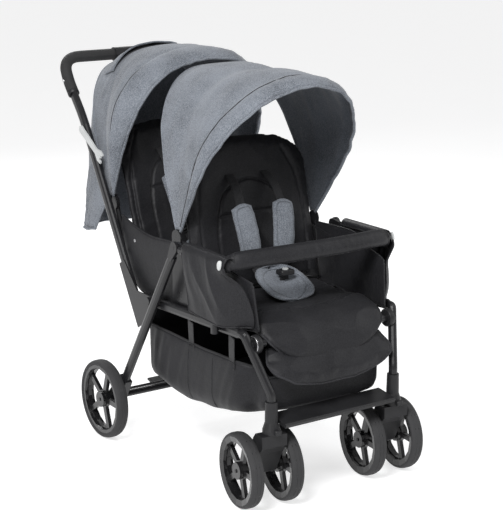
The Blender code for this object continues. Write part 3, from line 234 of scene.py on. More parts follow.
FOAM = coated("grip_foam", (0.0095, 0.0095, 0.0100), (0.0170, 0.0170, 0.0180), 0.74, 1800.0, 0.8)
GREY = coated("light_grey_plastic", (0.42, 0.43, 0.43), (0.55, 0.56, 0.56), 0.42, 1200.0, 0.2)
STEEL = coated("bare_steel", (0.42, 0.42, 0.43), (0.60, 0.60, 0.61), 0.28, 900.0, 0.1, metallic=1.0)


# Shapes


def finish(name, bm, spec, body, smooth=40):
    """Make a piece from the mesh, riding on a body. Only edges sharper than smooth degrees are kept
    sharp, and with 0 none are."""
    bmesh.ops.remove_doubles(bm, verts=bm.verts[:], dist=1e-6)
    bmesh.ops.recalc_face_normals(bm, faces=bm.faces[:])
    mesh = bpy.data.meshes.new(name)
    bm.to_mesh(mesh)
    bm.free()
    mesh.materials.append(spec)
    mesh.shade_smooth()
    if smooth:
        mesh.set_sharp_from_angle(angle=math.radians(smooth))
    made = bpy.data.objects.new(name, mesh)
    bpy.context.collection.objects.link(made)
    if body:
        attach(made, body)
    return made


def loft(bm, rings, closed=False):
    """Join equal rings in turn. Open ones are capped, closed ones meet again."""
    rows = [[bm.verts.new(p) for p in outline] for outline in rings]
    pairs = list(zip(rows, rows[1:]))
    if closed:
        pairs.append((rows[-1], rows[0]))
    for low, high in pairs:
        for i in range(len(low)):
            j = (i + 1) % len(low)
            bm.faces.new((low[i], low[j], high[j], high[i]))
    if not closed:
        bm.faces.new(rows[0])
        bm.faces.new(rows[-1])


def squared_loop(power, count):
    """Points (across, along) once round a squared circle, the first again at the end."""
    turns = [2 * math.pi * k / count for k in range(count + 1)]
    return [(squared(math.cos(turn), power), squared(math.sin(turn), power)) for turn in turns]


def squared(value, power):
    """A sine or cosine bent towards the corners of a square by a power below one."""
    return math.copysign(abs(value) ** power, value)


def oval(wide, deep, count, power=2.0):
    """An outline by its half width and depth: an ellipse at power 2, squarer above it."""
    points = []
    for i in range(count):
        turn = 2 * math.pi * (i + 0.5) / count
        points.append((wide * squared(math.cos(turn), 2 / power), deep * squared(math.sin(turn), 2 / power)))
    return points


def ring(centre, across, up, outline):
    """An outline laid out about a centre."""
    return [centre + across * a + up * b for a, b in outline]


def sweep(bm, path, section, side):
    """Run a section along a path. It is an outline, or a function of the share run."""
    side = Vector(side)
    rings = []
    last = len(path) - 1
    for i, spot in enumerate(path):
        way = (path[min(i + 1, last)] - path[max(i - 1, 0)]).normalized()
        side = (side - way * side.dot(way)).normalized()
        up = way.cross(side)
        outline = section(i / last) if callable(section) else section
        rings.append(ring(spot, side, up, outline))
    loft(bm, rings)


def swept(name, path, section, side, spec, body):
    """A piece with its section run along a path."""
    bm = bmesh.new()
    sweep(bm, path, section, side)
    return finish(name, bm, spec, body, 0)


def curve_through(points, steps):
    """A smooth path through the points."""
    points = [Vector(p) for p in points]
    ends = [points[0] * 2 - points[1]] + points + [points[-1] * 2 - points[-2]]
    found = []
    for a, b, c, d in zip(ends, ends[1:], ends[2:], ends[3:]):
        for k in range(steps):
            t = k / steps
            found.append(0.5 * ((2 * b) + (c - a) * t + (2 * a - 5 * b + 4 * c - d) * t * t
                                + (3 * b - a - 3 * c + d) * t ** 3))
    found.append(points[-1])
    return found


def piping(name, points, radius, spec, body, side, count, steps):
    """A thin round cord, seam or hem through the points."""
    return swept(name, curve_through(points, steps), oval(radius, radius, count), side, spec, body)


def turned(name, profile, centre, count, axis, spec, body, smooth):
    """A piece turned from a closed profile of (radius, along) points, about an axis through centre."""
    axis = Vector(axis).normalized()
    one = axis.orthogonal().normalized()
    two = axis.cross(one)
    rings = []
    for i in range(count):
        turn = 2 * math.pi * i / count
        out = one * math.cos(turn) + two * math.sin(turn)
        rings.append([Vector(centre) + out * r + axis * a for r, a in profile])
    bm = bmesh.new()
    loft(bm, rings, closed=True)
    return finish(name, bm, spec, body, smooth)


def rod(bm, start, end, radius, count, bevel):
    """A round bar with softened ends."""
    start = Vector(start)
    end = Vector(end)
    way = (end - start).normalized()
    side = way.orthogonal().normalized()
    up = way.cross(side)
    rings = []
    for spot, size in ((start, radius - bevel), (start + way * bevel, radius),
                       (end - way * bevel, radius), (end, radius - bevel)):
        rings.append(ring(spot, side, up, oval(size, size, count)))
    loft(bm, rings)


def thick(piece, depth, offset=-1.0):
    """Give a sheet its thickness, all of it behind the sheet at offset -1."""
    step = piece.modifiers.new("thickness", "SOLIDIFY")
    step.thickness = depth
    step.offset = offset
    return step


def baked(piece):
    """Write the modifiers into the mesh."""
    depsgraph = bpy.context.evaluated_depsgraph_get()
    mesh = bpy.data.meshes.new_from_object(piece.evaluated_get(depsgraph))
    piece.modifiers.clear()
    piece.data = mesh


def rounded(piece):
    """Smooth the piece by one subdivision."""
    step = piece.modifiers.new("rounder", "SUBSURF")
    step.levels = 1
    step.render_levels = 1
    baked(piece)


def grid_mesh(bm, grid):
    """A sheet of faces through a grid of points."""
    rows = [[bm.verts.new(p) for p in row] for row in grid]
    for low, high in zip(rows, rows[1:]):
        for j in range(len(low) - 1):
            bm.faces.new((low[j], low[j + 1], high[j + 1], high[j]))


def rough(spot, size, seed):
    """Even noise between -1 and 1 at a place, for creases of the given size."""
    return noise.noise(Vector(spot) / size + Vector((seed, seed * 1.7, -seed)))


def grid_of(rows, columns, place):
    """A grid of points, from a function of the shares run down and across it."""
    return np.array([[place(i / rows, j / columns) for j in range(columns + 1)] for i in range(rows + 1)])


def pushed(grid, normal, push):
    """A grid moved along its normals, by a function of the same shares and the place."""
    rows, columns = grid.shape[0] - 1, grid.shape[1] - 1
    shaped = grid.copy()
    for i in range(rows + 1):
        for j in range(columns + 1):
            shaped[i, j] += normal[i, j] * push(i / rows, j / columns, grid[i, j])
    return shaped


def folded(spot, size, seed):
    """The same noise as sharp folds: 1 along each ridge and lower away from it."""
    return 1 - 2 * abs(rough(spot, size, seed))


def evenly(line, count):
    """Places at even steps along a line of points."""
    run = np.concatenate([[0.0], np.cumsum(np.linalg.norm(np.diff(line, axis=0), axis=1))])
    want = np.linspace(0.0, run[-1], count)
    return np.stack([np.interp(want, run, column) for column in line.T], axis=1)


def run_through(points, count):
    """Evenly spaced places on a smooth line through the points, as an array."""
    return evenly(np.array([p[:] for p in curve_through(points, 10)]), count)


def smooth(value, low, high):
    """A soft step from 0 at low to 1 at high."""
    t = min(1.0, max(0.0, (value - low) / (high - low)))
    return t * t * (3 - 2 * t)


def edge_at(points, share):
    """A place on a smooth edge curve, given the share of its length."""
    line = run_through([p if len(p) == 3 else (0, *p) for p in points], 41)
    spot = share * 40
    low = min(39, int(spot))
    return line[low] + (line[low + 1] - line[low]) * (spot - low)


def read(items, key):
    """The places of vertices or the vectors of normals, one to a row."""
    rows = np.empty(len(items) * 3)
    items.foreach_get(key, rows)
    return rows.reshape(-1, 3)


def write(mesh, places):
    """Move a mesh's vertices to these places."""
    mesh.vertices.foreach_set("co", places.ravel())
    mesh.update()


def surface(piece):
    """The piece's faces, ready to be searched."""
    mesh = piece.data
    return BVHTree.FromPolygons([v.co for v in mesh.vertices], [p.vertices for p in mesh.polygons])


# Camera, floor and light


def camera_and_stage():
    """The photograph's camera, a pale floor and backdrop, and three soft lamps."""
    azimuth = math.radians(CAMERA_AZIMUTH)
    elevation = math.radians(CAMERA_ELEVATION)
    right = Vector((math.cos(azimuth), math.sin(azimuth), 0))
    back = Vector((math.sin(azimuth) * math.cos(elevation), -math.cos(azimuth) * math.cos(elevation),
                   math.sin(elevation)))
    up = back.cross(right)
    data = bpy.data.cameras.new("photo_camera")
    data.lens = FOCAL_PX * data.sensor_width / max(PHOTO_SIZE)
    data.clip_start = 0.05
    data.clip_end = 60.0
    camera = bpy.data.objects.new("photo_camera", data)
    turn = Matrix((right, up, back)).transposed().to_4x4()
    camera.matrix_world = Matrix.Translation(CAMERA_AT) @ turn
    bpy.context.collection.objects.link(camera)
    bpy.context.scene.camera = camera

    floor = Finish("pale_floor", Specular_IOR_Level=0.1, Emission_Color=(1.0, 1.0, 1.0, 1.0),
                   Emission_Strength=0.66)
    tone = floor.grain(3.0, 3.0)
    spec = floor.wear(Base_Color=floor.colour(tone, (0.54, 0.54, 0.545), (0.57, 0.57, 0.575)),
                      Roughness=tone.step(0.0, 1.0, 0.85, 0.95))
    bm = bmesh.new()
    grid_mesh(bm, [[Vector((x, y, 0)) for x in (-30, 30)] for y in (-30, 30)])
    finish("floor", bm, spec, None)

    world = bpy.data.worlds.new("studio")
    world.use_nodes = True
    links = world.node_tree.links
    plain = world.node_tree.nodes["Background"]
    plain.inputs["Color"].default_value = (1.0, 1.0, 1.0, 1.0)
    plain.inputs["Strength"].default_value = 0.40
    shown = world.node_tree.nodes.new("ShaderNodeBackground")
    shown.inputs["Color"].default_value = (0.91, 0.91, 0.91, 1.0)
    shown.inputs["Strength"].default_value = 1.0
    ray = world.node_tree.nodes.new("ShaderNodeLightPath")
    choice = world.node_tree.nodes.new("ShaderNodeMixShader")
    links.new(ray.outputs["Is Camera Ray"], choice.inputs[0])
    links.new(plain.outputs[0], choice.inputs[1])
    links.new(shown.outputs[0], choice.inputs[2])
    links.new(choice.outputs[0], world.node_tree.nodes["World Output"].inputs["Surface"])
    bpy.context.scene.world = world
    for name, spot, size, power, aim in (
        ("key", (-2.4, -2.0, 3.2), 1.3, 175, (0, 0, 0.6)),
        ("fill", (2.8, -1.8, 2.2), 2.4, 34, (0, 0, 0.5)),
        ("rim", (0.6, 3.0, 2.8), 1.6, 70, (0, 0, 0.7)),
    ):
        light = bpy.data.lights.new(name, "AREA")
        light.size = size
        light.energy = power
        lamp = bpy.data.objects.new(name, light)
        lamp.location = spot
        lamp.rotation_euler = (Vector(aim) - Vector(spot)).to_track_quat("-Z", "Y").to_euler()
        bpy.context.collection.objects.link(lamp)
    scene = bpy.context.scene
    scene.view_settings.view_transform = "Standard"
    scene.view_settings.look = "None"
    scene.view_settings.exposure = 0.0
    scene.view_settings.gamma = 1.0


def cad_finishes():
    """Each CAD node takes its procedural material."""
    choice = {
        "satin_black_tube": TUBE, "black_plastic": PLASTIC, "rim_black": RIM, "tyre_rubber": TYRE,
        "black_cloth": BLACK_CLOTH, "grey_melange": MELANGE, "grip_foam": FOAM, "light_grey_plastic": GREY,
    }
    for entry in frame["record"]["subparts"]:
        node = nodes[entry["node"]]
        for slot in node.material_slots:
            slot.material = choice[entry["material_slot"]]


# Hoods


def arc_points(shape, count):
    """One hoop as (across, height) from the near pivot to the far one, evenly spaced.
    shape is its half width, the height where it is widest, its height, and its squareness."""
    half, widest, high, power = shape
    side = []
    for i in range(40):
        t = i / 40
        side.append((-(HOOD_ROOT + (half - HOOD_ROOT) * math.sin(t * math.pi / 2)), widest * t))
    for i in range(81):
        turn = math.pi / 2 * i / 80
        side.append((-half * math.cos(turn) ** (2 / power),
                     widest + (high - widest) * math.sin(turn) ** (2 / power)))
    return evenly(np.array(side + [(-x, h) for x, h in reversed(side[:-1])]), count)


def between(stations, v):
    """The values at v, taken evenly between the stations around it."""
    for low, high in zip(stations, stations[1:]):
        if v <= high[0]:
            t = (v - low[0]) / (high[0] - low[0])
            return [a + (b - a) * t for a, b in zip(low[1:], high[1:])]
    return list(stations[-1][1:])


def outward(grid, way):
    """The normal at each point of a grid, on the side where the middle one looks along way."""
    down = np.gradient(grid, axis=0)
    across = np.gradient(grid, axis=1)
    normal = np.cross(across, down)
    normal /= np.maximum(np.linalg.norm(normal, axis=2, keepdims=True), 1e-9)
    middle = normal[grid.shape[0] // 2, grid.shape[1] // 2]
    return -normal if middle.dot(way) < 0 else normal


def hoop_point(pivot, tilt, x, h, high):
    """A point of a hoop that leans by tilt about its pivot and begins a little above it."""
    h = HOOD_FOOT + h * (1 - HOOD_FOOT / high)
    return at(x, pivot[0] + h * math.sin(tilt), pivot[1] + h * math.cos(tilt))


def hood_grid(pivot, stations):
    """A hood through its hoops. Each station is its share of the way from the rear hoop to the front one,
    its lean in degrees, and the shape of its hoop."""
    rows, columns = HOOD_SIZE
    grid = np.zeros((rows + 1, columns + 1, 3))
    for i in range(rows + 1):
        tilt, half, widest, high, power = between(stations, i / rows)
        tilt = math.radians(tilt)
        for j, (x, h) in enumerate(arc_points((half, widest, high, power), columns + 1)):
            grid[i, j] = hoop_point(pivot, tilt, x, h, high)
    return grid


def hood(name, grid, band, seed):
    """One continuous hood: its cloth with a gathered band along the front, lining and seams.
    band is where the gathered band begins."""
    rows = grid.shape[0] - 1
    columns = grid.shape[1] - 1
    normal = outward(grid, (0, 0, 1))

    def push(v, u, spot):
        far = 0.0045 * rough(spot, 0.16, seed)
        far += 0.0020 * rough((spot[0] * 0.5, spot[1] * 2.0, spot[2] * 0.6), 0.045, seed + 3)
        if v > band:
            t = (v - band) / (1 - band)
            far += 0.011 * math.sin(math.pi * min(1.0, t * 0.92 + 0.04)) ** 0.7
            pleat = rough((u * 9.0 + 0.3 * t, seed, 0.0), 0.16, seed + 5)
            pucker = folded((u * 9.0 + 0.5 * t, seed, t * 0.10), 0.070, seed + 6)
            near_hems = (1 - t) ** 2 + 1.3 * t * t
            far += 0.0032 * pleat * (0.35 + t) + 0.0019 * pucker * near_hems
        else:
            t = max(0.0, 1 - (band - v) / 0.10)
            far -= 0.0025 * t * t
            far += 0.0018 * rough((u * 7.0, v * 1.5, seed), 0.14, seed + 7) * t
        return far * min(1.0, 6 * u, 6 * (1 - u))

    shaped = pushed(grid, normal, push)
    bm = bmesh.new()
    grid_mesh(bm, shaped)
    piece = finish(name, bm, MELANGE, None, 0)
    if outward_share(piece, grid.mean(axis=(0, 1))) < 0.5:
        piece.data.flip_normals()
    piece.data.materials.append(LINING)
    step = thick(piece, 0.0024)
    step.material_offset = 1
    step.material_offset_rim = 0
    baked(piece)
    parts = [piece]
    seam_row = int(round(band * rows))
    for label, row, columns_run, lift, radius, spec, count in (
        ("seam", seam_row, slice(2, columns - 1, 2), 0.0004, 0.0013, BLACK_CLOTH, 6),
        ("hem", rows, slice(0, columns + 1, 2), -0.0012, 0.0038, MELANGE, 10),
        ("rear_hem", 0, slice(0, columns + 1, 2), -0.0010, 0.0032, MELANGE, 10),
    ):
        line = lifted(shaped[row, columns_run], normal[row, columns_run], lift)
        parts.append(piping(f"{name}_{label}", line, radius, spec, None, (0, 1, 0), count, 2))
    for part in parts:
        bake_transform(part)
    return piece, shaped, normal


def lifted(places, normals, height):
    """Places moved out from the surface they are on."""
    return [Vector(p) + Vector(n) * height for p, n in zip(places, normals)]


def outward_share(piece, middle):
    """The share of faces that look away from a point."""
    away = 0
    for face in piece.data.polygons:
        away += (face.center - Vector(middle)).dot(face.normal) > 0
    return away / len(piece.data.polygons)


def front_hood():
    """The front hood, from its rear hoop over the middle one to the rim."""
    stations = [  # share of the way, lean, then half width, height of that width, height and squareness
        (0.0, 20.8, 0.2175, 0.045, 0.449, 2.7),
        (0.45, -4.0, 0.2190, 0.100, 0.424, 2.5),
        (0.84, -28.0, 0.2300, 0.220, 0.480, 2.0),
        (1.0, -35.0, 0.2240, 0.200, 0.493, 2.0),
    ]
    grid = hood_grid((0.385, 0.620), stations)
    piece, shaped, _ = hood("front_hood_cloth", grid, 0.84, 1.0)
    instead_of(piece, "grey_melange", "front_canopy_front", "front_canopy_rear")
    sheet_area(shaped)


def instead_of(piece, slot, *cad_nodes):
    """The piece is shown in place of these CAD nodes, which are hidden. slot is not used."""
    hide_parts(*cad_nodes)


def sheet_area(grid):
    """The area of a grid of points, as cut cloth."""
    a = grid[1:, :-1] - grid[:-1, :-1]
    b = grid[:-1, 1:] - grid[:-1, :-1]
    return float(np.linalg.norm(np.cross(a, b), axis=2).sum())


def rear_hood():
    """The rear hood, and the flap over its vent."""
    stations = [
        (0.0, REAR_HOOP_LEAN, *REAR_HOOP),
        (0.50, 6.0, 0.2190, 0.080, 0.418, 2.7),
        (0.80, -11.4, 0.2400, 0.200, 0.428, 2.2),
        (1.0, -23.9, 0.2170, 0.060, 0.432, 2.7),
    ]
    grid = hood_grid(REAR_HOOD_PIVOT, stations)
    piece, shaped, normal = hood("rear_hood_cloth", grid, 0.80, 2.0)
    instead_of(piece, "grey_melange", "rear_canopy_front", "rear_canopy_rear")
    sheet_area(shaped)
    vent_flap(shaped[VENT], normal[VENT])


def vent_flap(patch, facing):
    """The flap over the rear hood's vent, sewn down behind and standing open in front, over a dark sheet of
    painted shade.
    """

    def push(t, u, _):
        ripple = rough((u * 0.56, t * 0.16, 0.0), 0.09, 91.0)
        return 0.0026 + (0.0085 * t + 0.0020 * ripple) * abs(math.sin(math.pi * u)) ** 0.6

    flap = pushed(patch, facing, push)
    # A dark sheet just under the flap: painted shade for the shadowed inside of the vent.
    dark = sewn("rear_hood_vent", patch + facing * 0.0016, CORD_HIGHLIGHT_AND_VENT_SHADE, None, 0.0010)
    cover = sewn("rear_hood_vent_flap", flap, MELANGE, None, 0.0022)
    sheet_area(flap)
    lip = piping("rear_hood_vent_hem", flap[-1, ::2], 0.0026, MELANGE, None, (0, 1, 0), 8, 2)
    for part in (dark, cover, lip):
        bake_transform(part)


# Padded pieces


def cushion(piece, body, slot, cad_node):
    """A padded piece that rides on a body in place of a CAD node."""
    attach(piece, body)
    instead_of(piece, slot, cad_node)


def pad_grid(place, rows, columns, front, back, edge, crown=1.0, ends=None):
    """Two skins of a pad. place(u, v) gives a point of its middle and the way it faces.
    A depth is a number or a function of v. Higher powers for edge and ends keep it full further out."""
    ends = ends or edge
    skins = []
    for face, depth in ((1, front), (-1, back)):
        skin = []
        for i in range(rows + 1):
            v = i / rows
            row = []
            for j in range(columns + 1):
                u = -1 + 2 * j / columns
                spot, facing = place(u, v)
                inside = max(0.0, (1 - abs(u) ** edge) * (1 - abs(2 * v - 1) ** ends))
                fall = THIN_EDGE + (1 - THIN_EDGE) * inside ** (0.5 * crown)
                deep = depth(v) if callable(depth) else depth
                row.append(spot + facing * (face * deep * fall))
            skin.append(row)
        skins.append(skin)
    return skins


def padding(name, skins, spec):
    """One closed piece from the two skins of a pad."""
    bm = bmesh.new()
    front, back = skins
    top = [[bm.verts.new(p) for p in row] for row in front]
    low = [[bm.verts.new(p) for p in row] for row in back]
    for skin, turn in ((top, False), (low, True)):
        for a, b in zip(skin, skin[1:]):
            for j in range(len(a) - 1):
                face = (a[j], a[j + 1], b[j + 1], b[j])
                bm.faces.new(tuple(reversed(face)) if turn else face)
    rim = ([(0, j) for j in range(len(top[0]))] + [(i, -1) for i in range(1, len(top))]
           + [(-1, j) for j in range(len(top[0]) - 2, -1, -1)] + [(i, 0) for i in range(len(top) - 2, 0, -1)])
    for (a, b), (c, d) in zip(rim, rim[1:] + rim[:1]):
        bm.faces.new((top[a][b], low[a][b], low[c][d], top[c][d]))
    bmesh.ops.remove_doubles(bm, verts=bm.verts[:], dist=1e-5)
    return finish(name, bm, spec, None, 0)


def puffed(piece, voxel, cap):
    """Remesh the piece evenly, blow it up as cloth and keep how far it moved under the cap."""
    remesh = piece.modifiers.new("even", "REMESH")
    remesh.mode = "VOXEL"
    remesh.voxel_size = voxel
    baked(piece)
    relax = piece.modifiers.new("relax", "SMOOTH")
    relax.factor = 0.5
    relax.iterations = 3
    baked(piece)
    before = read(piece.data.vertices, "co")
    cloth = piece.modifiers.new("cloth", "CLOTH")
    cloth.settings.quality = 4
    cloth.settings.use_pressure = True
    cloth.settings.uniform_pressure_force = 4.0
    cloth.settings.tension_stiffness = 12.0
    cloth.settings.bending_stiffness = 0.8
    cloth.settings.effector_weights.gravity = 0.0
    cloth.point_cache.frame_start = 1
    cloth.point_cache.frame_end = PUFF_FRAMES
    for frame_number in range(1, PUFF_FRAMES + 1):
        bpy.context.scene.frame_set(frame_number)
    depsgraph = bpy.context.evaluated_depsgraph_get()
    blown = piece.evaluated_get(depsgraph).to_mesh()
    move = read(blown.vertices, "co") - before
    piece.evaluated_get(depsgraph).to_mesh_clear()
    piece.modifiers.clear()
    far = np.linalg.norm(move, axis=1, keepdims=True)
    move *= np.minimum(1.0, cap / np.maximum(far, 1e-9))
    write(piece.data, before + move)
    bpy.context.scene.frame_set(1)
    rounded(piece)
    piece.data.shade_smooth()


def pressed(piece, lines, depth, wide, pucker, seed):
    """Sew lines into a pad: the cloth sinks along each line and puckers beside it."""
    spots = np.array([p[:] for line in lines for p in curve_through(line, 10)])
    places = read(piece.data.vertices, "co")
    normals = read(piece.data.vertex_normals, "vector")
    reach = 5 * wide
    low = spots.min(axis=0) - reach
    high = spots.max(axis=0) + reach
    near = np.where(((places > low) & (places < high)).all(axis=1))[0]
    for i in near:
        away = np.linalg.norm(spots - places[i], axis=1)
        d = away.min()
        if d > reach:
            continue
        sink = depth * math.exp(-(d / wide) ** 2)
        wave = rough(places[i], 0.011, seed) * pucker * math.exp(-(d / (2.2 * wide)) ** 2)
        places[i] += normals[i] * (wave - sink)
    write(piece.data, places)


def creased(piece, size, depth, stretch, seed):
    """Soft folds all over a pad, in metres of size and depth."""
    places = read(piece.data.vertices, "co")
    normals = read(piece.data.vertex_normals, "vector")
    scale = np.array(stretch)
    for i, spot in enumerate(places):
        places[i] = spot + normals[i] * (depth * folded(spot * scale, size, seed))
    write(piece.data, places)


def on_surface(piece, points, facing, lift=0.0):
    """Drop each point onto the piece against the way it faces."""
    tree = surface(piece)
    facing = Vector(facing).normalized()
    found = []
    for point in points:
        hit = tree.ray_cast(Vector(point) + facing * DROP, -facing)[0]
        found.append((hit if hit is not None else Vector(point)) + facing * lift)
    return found


def nearest(piece, points):
    """Lay points on the nearest place of a piece's surface, a little proud."""
    tree = surface(piece)
    found = []
    for point in points:
        near, facing, _, _ = tree.find_nearest(Vector(point))
        found.append(near + facing * 0.0004)
    return found


def leaning(degrees):
    """The way up and the way out of something that leans back by so much."""
    turn = math.radians(degrees)
    return Vector((0, math.sin(turn), math.cos(turn))), Vector((0, -math.cos(turn), math.sin(turn)))


def backrest(name, hinge, lean, long, half, seed):
    """A backrest's pad with its quilted arch, wings and cross seam."""
    body = f"{name}_back"
    up, facing = leaning(lean)
    foot = at(0, *hinge)

    def place(u, v):
        s = v * long
        top = max(0.0, (v - 0.72) / 0.28)
        wide = half * (1 - 0.03 * math.sin(math.pi * v)) * (1 - 0.40 * top ** 2.6)
        wing = 0.012 * abs(u) ** 3
        droop = 0.012 * u * u * top
        return foot + Vector((wide * u, 0, 0)) + up * (s - droop) + facing * (wing + 0.002), facing

    skins = pad_grid(place, 22, 20, BACKREST_HALF * 0.8, BACKREST_HALF * 0.7, 6.0)
    piece = padding(f"{name}_backrest_pad", skins, SOFT_CLOTH)
    puffed(piece, 0.0055, 0.007)
    creased(piece, 0.050, 0.0024, (1.0, 1.0, 0.6), seed)

    def mark(x, s):
        return foot + Vector((x, 0, 0)) + up * s

    rising = ((0.108, 0.03), (0.110, 0.12), (0.104, 0.19), (0.075, 0.262))
    arch = ([mark(-x, s) for x, s in rising] + [mark(0.0, 0.292)]
            + [mark(x, s) for x, s in reversed(rising)])
    wing_left = [mark(-0.160, 0.02), mark(-0.163, 0.15), mark(-0.155, 0.28), mark(-0.120, 0.365)]
    wing_right = [Vector((-spot.x, spot.y, spot.z)) for spot in wing_left]
    cross = [mark(-0.104, 0.200), mark(0.0, 0.206), mark(0.104, 0.200)]
    lines = [on_surface(piece, curve_through(line, 6), facing)
             for line in (arch, wing_left, wing_right, cross)]
    pressed(piece, lines, 0.0045, 0.0042, 0.0012, seed)
    cushion(piece, body, "black_cloth", f"{name}_backrest")
    cords = on_surface(piece, curve_through(arch, 4), facing, 0.0008)
    piping(f"{name}_backrest_piping", cords, 0.0011, BLACK_CLOTH, body, (0, 1, 0), 6, 2)


def front_seat():
    """The seat cushion, whose front falls in a round lobe, and the leg rest's lobe under it."""
    fall = [(0.325, 0.460), (0.240, 0.455), (0.170, 0.456), (0.118, 0.457), (0.078, 0.446),
            (0.047, 0.420), (0.031, 0.388), (0.025, 0.352)]
    line = run_through([(0, y, z) for y, z in fall], 61)
    way = np.gradient(line, axis=0)

    def place(u, v):
        spot = v * 60
        k = min(59, int(spot))
        _, y, z = line[k] + (line[k + 1] - line[k]) * (spot - k)
        _, dy, dz = way[k] + (way[k + 1] - way[k]) * (spot - k)
        size = math.hypot(dy, dz)
        facing = Vector((0, dz / size, -dy / size))
        low = max(0.0, (v - 0.62) / 0.38)
        half = (0.184 + 0.010 * smooth(v, 0.3, 0.7)) * (1 - 0.16 * low ** 3)
        lift = 0.048 * low * abs(u) ** 2.8
        return at(half * u, y, z) + Vector((0, -dy / size, -dz / size)) * lift, facing

    def front_skin(v):
        return 0.0105 + 0.0115 * smooth(v, 0.55, 0.80)

    skins = pad_grid(place, 40, 24, front_skin, 0.0105, 5.0, ends=8.0)
    seat = padding("front_seat_cushion", skins, SOFT_CLOTH)
    puffed(seat, 0.0055, 0.007)
    creased(seat, 0.048, 0.0034, (0.55, 1.0, 1.0), 4.0)
    seam = [at(x, 0.132 - 0.040 * (1 - (x / 0.175) ** 2), 0.47) for x in np.linspace(-0.172, 0.172, 19)]
    middle = [at(x, 0.205 + 0.030 * (x / 0.15) ** 2, 0.47) for x in np.linspace(-0.15, 0.15, 13)]
    pressed(seat, [on_surface(seat, line, (0, 0, 1)) for line in (seam, middle)], 0.0042, 0.0038, 0.0014, 4.0)
    instead_of(seat, "black_cloth", "front_seat_pad")
    cord = nearest(seat, lobe_edge(place, 0.58, 0.004))
    # The real piping cord, coloured lighter than the seat's cloth as a painted highlight.
    tape = piping("front_seat_piping", cord, 0.0027, CORD_HIGHLIGHT_AND_VENT_SHADE, None, (0, 1, 0), 8, 3)
    for part in (seat, tape):
        at(0, 0.075, 0.446)
        at(0, 0.038, 0.400)
        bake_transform(part)

    up, out = leaning(26)

    def lobe(u, v):
        half = (0.176 + 0.014 * smooth(v, 0.0, 0.45)) * (1 - 0.17 * max(0.0, (v - 0.45) / 0.55) ** 2.6)
        raised = 0.034 * abs(u) ** 3.5 * max(0.0, (v - 0.3) / 0.7)
        spot = at(0, 0.034, 0.409) - up * (v * 0.118) + Vector((half * u, 0, raised))
        return spot - out * (0.004 + 0.022 * (1 - v) ** 2), out

    rest = padding("legrest_cushion", pad_grid(lobe, 20, 24, 0.0150, 0.0095, 5.0), SOFT_CLOTH)
    puffed(rest, 0.0055, 0.006)
    creased(rest, 0.048, 0.0030, (0.55, 1.0, 1.0), 5.0)
    cushion(rest, "leg_support", "black_cloth", "legrest")
    cord = nearest(rest, lobe_edge(lobe, 0.10, 0.003))
    # The real piping cord, coloured lighter than the cushion as a painted highlight.
    piping("legrest_piping", cord, 0.0027, CORD_HIGHLIGHT_AND_VENT_SHADE, "leg_support", (0, 1, 0), 8, 3)


def lobe_edge(place, start, lift):
    """Down one side of a lobe from start, along its foot and up the other side, a little proud of it."""
    shares = [(-1.0, v) for v in np.linspace(start, 0.94, 8)]
    shares += [(u, 1.0) for u in np.linspace(-0.94, 0.94, 19)]
    shares += [(1.0, v) for v in np.linspace(0.94, start, 8)]
    return [spot + facing * lift for spot, facing in (place(u, v) for u, v in shares)]


def rear_seat():
    """The rear seat's flat cushion."""
    def place(u, v):
        half = 0.186 * (1 - 0.03 * math.sin(math.pi * v))
        return at(half * u, 0.640 - 0.2 * v, 0.4855 - 0.004 * v), Vector((0, 0, 1))

    seat = padding("rear_seat_cushion", pad_grid(place, 14, 20, 0.013, 0.013, 6.0), SOFT_CLOTH)
    puffed(seat, 0.0060, 0.005)
    creased(seat, 0.055, 0.0014, (0.7, 1.0, 1.0), 6.0)
    cushion(seat, "chassis", "black_cloth", "rear_seat_pad")


# Sewn cloth


def sewn(name, grid, spec, body, depth, lining=None, middle=None):
    """A sewn sheet through a grid of points, with its thickness and its lining."""
    bm = bmesh.new()
    grid_mesh(bm, grid)
    piece = finish(name, bm, spec, None, 0)
    if middle is not None and outward_share(piece, middle) < 0.5:
        piece.data.flip_normals()
    step = thick(piece, depth, -1.0 if lining else 0.0)
    if lining:
        piece.data.materials.append(lining)
        step.material_offset = 1
    baked(piece)
    if body:
        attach(piece, body)
    return piece


def hems(prefix, name, lines, radius, steps):
    """A hem along each labelled edge of a sewn wall."""
    for label, line in lines:
        piping(f"{prefix}_{label}_hem_{name}", line, radius, BLACK_CLOTH, "chassis", (1, 0, 0), 8, steps)


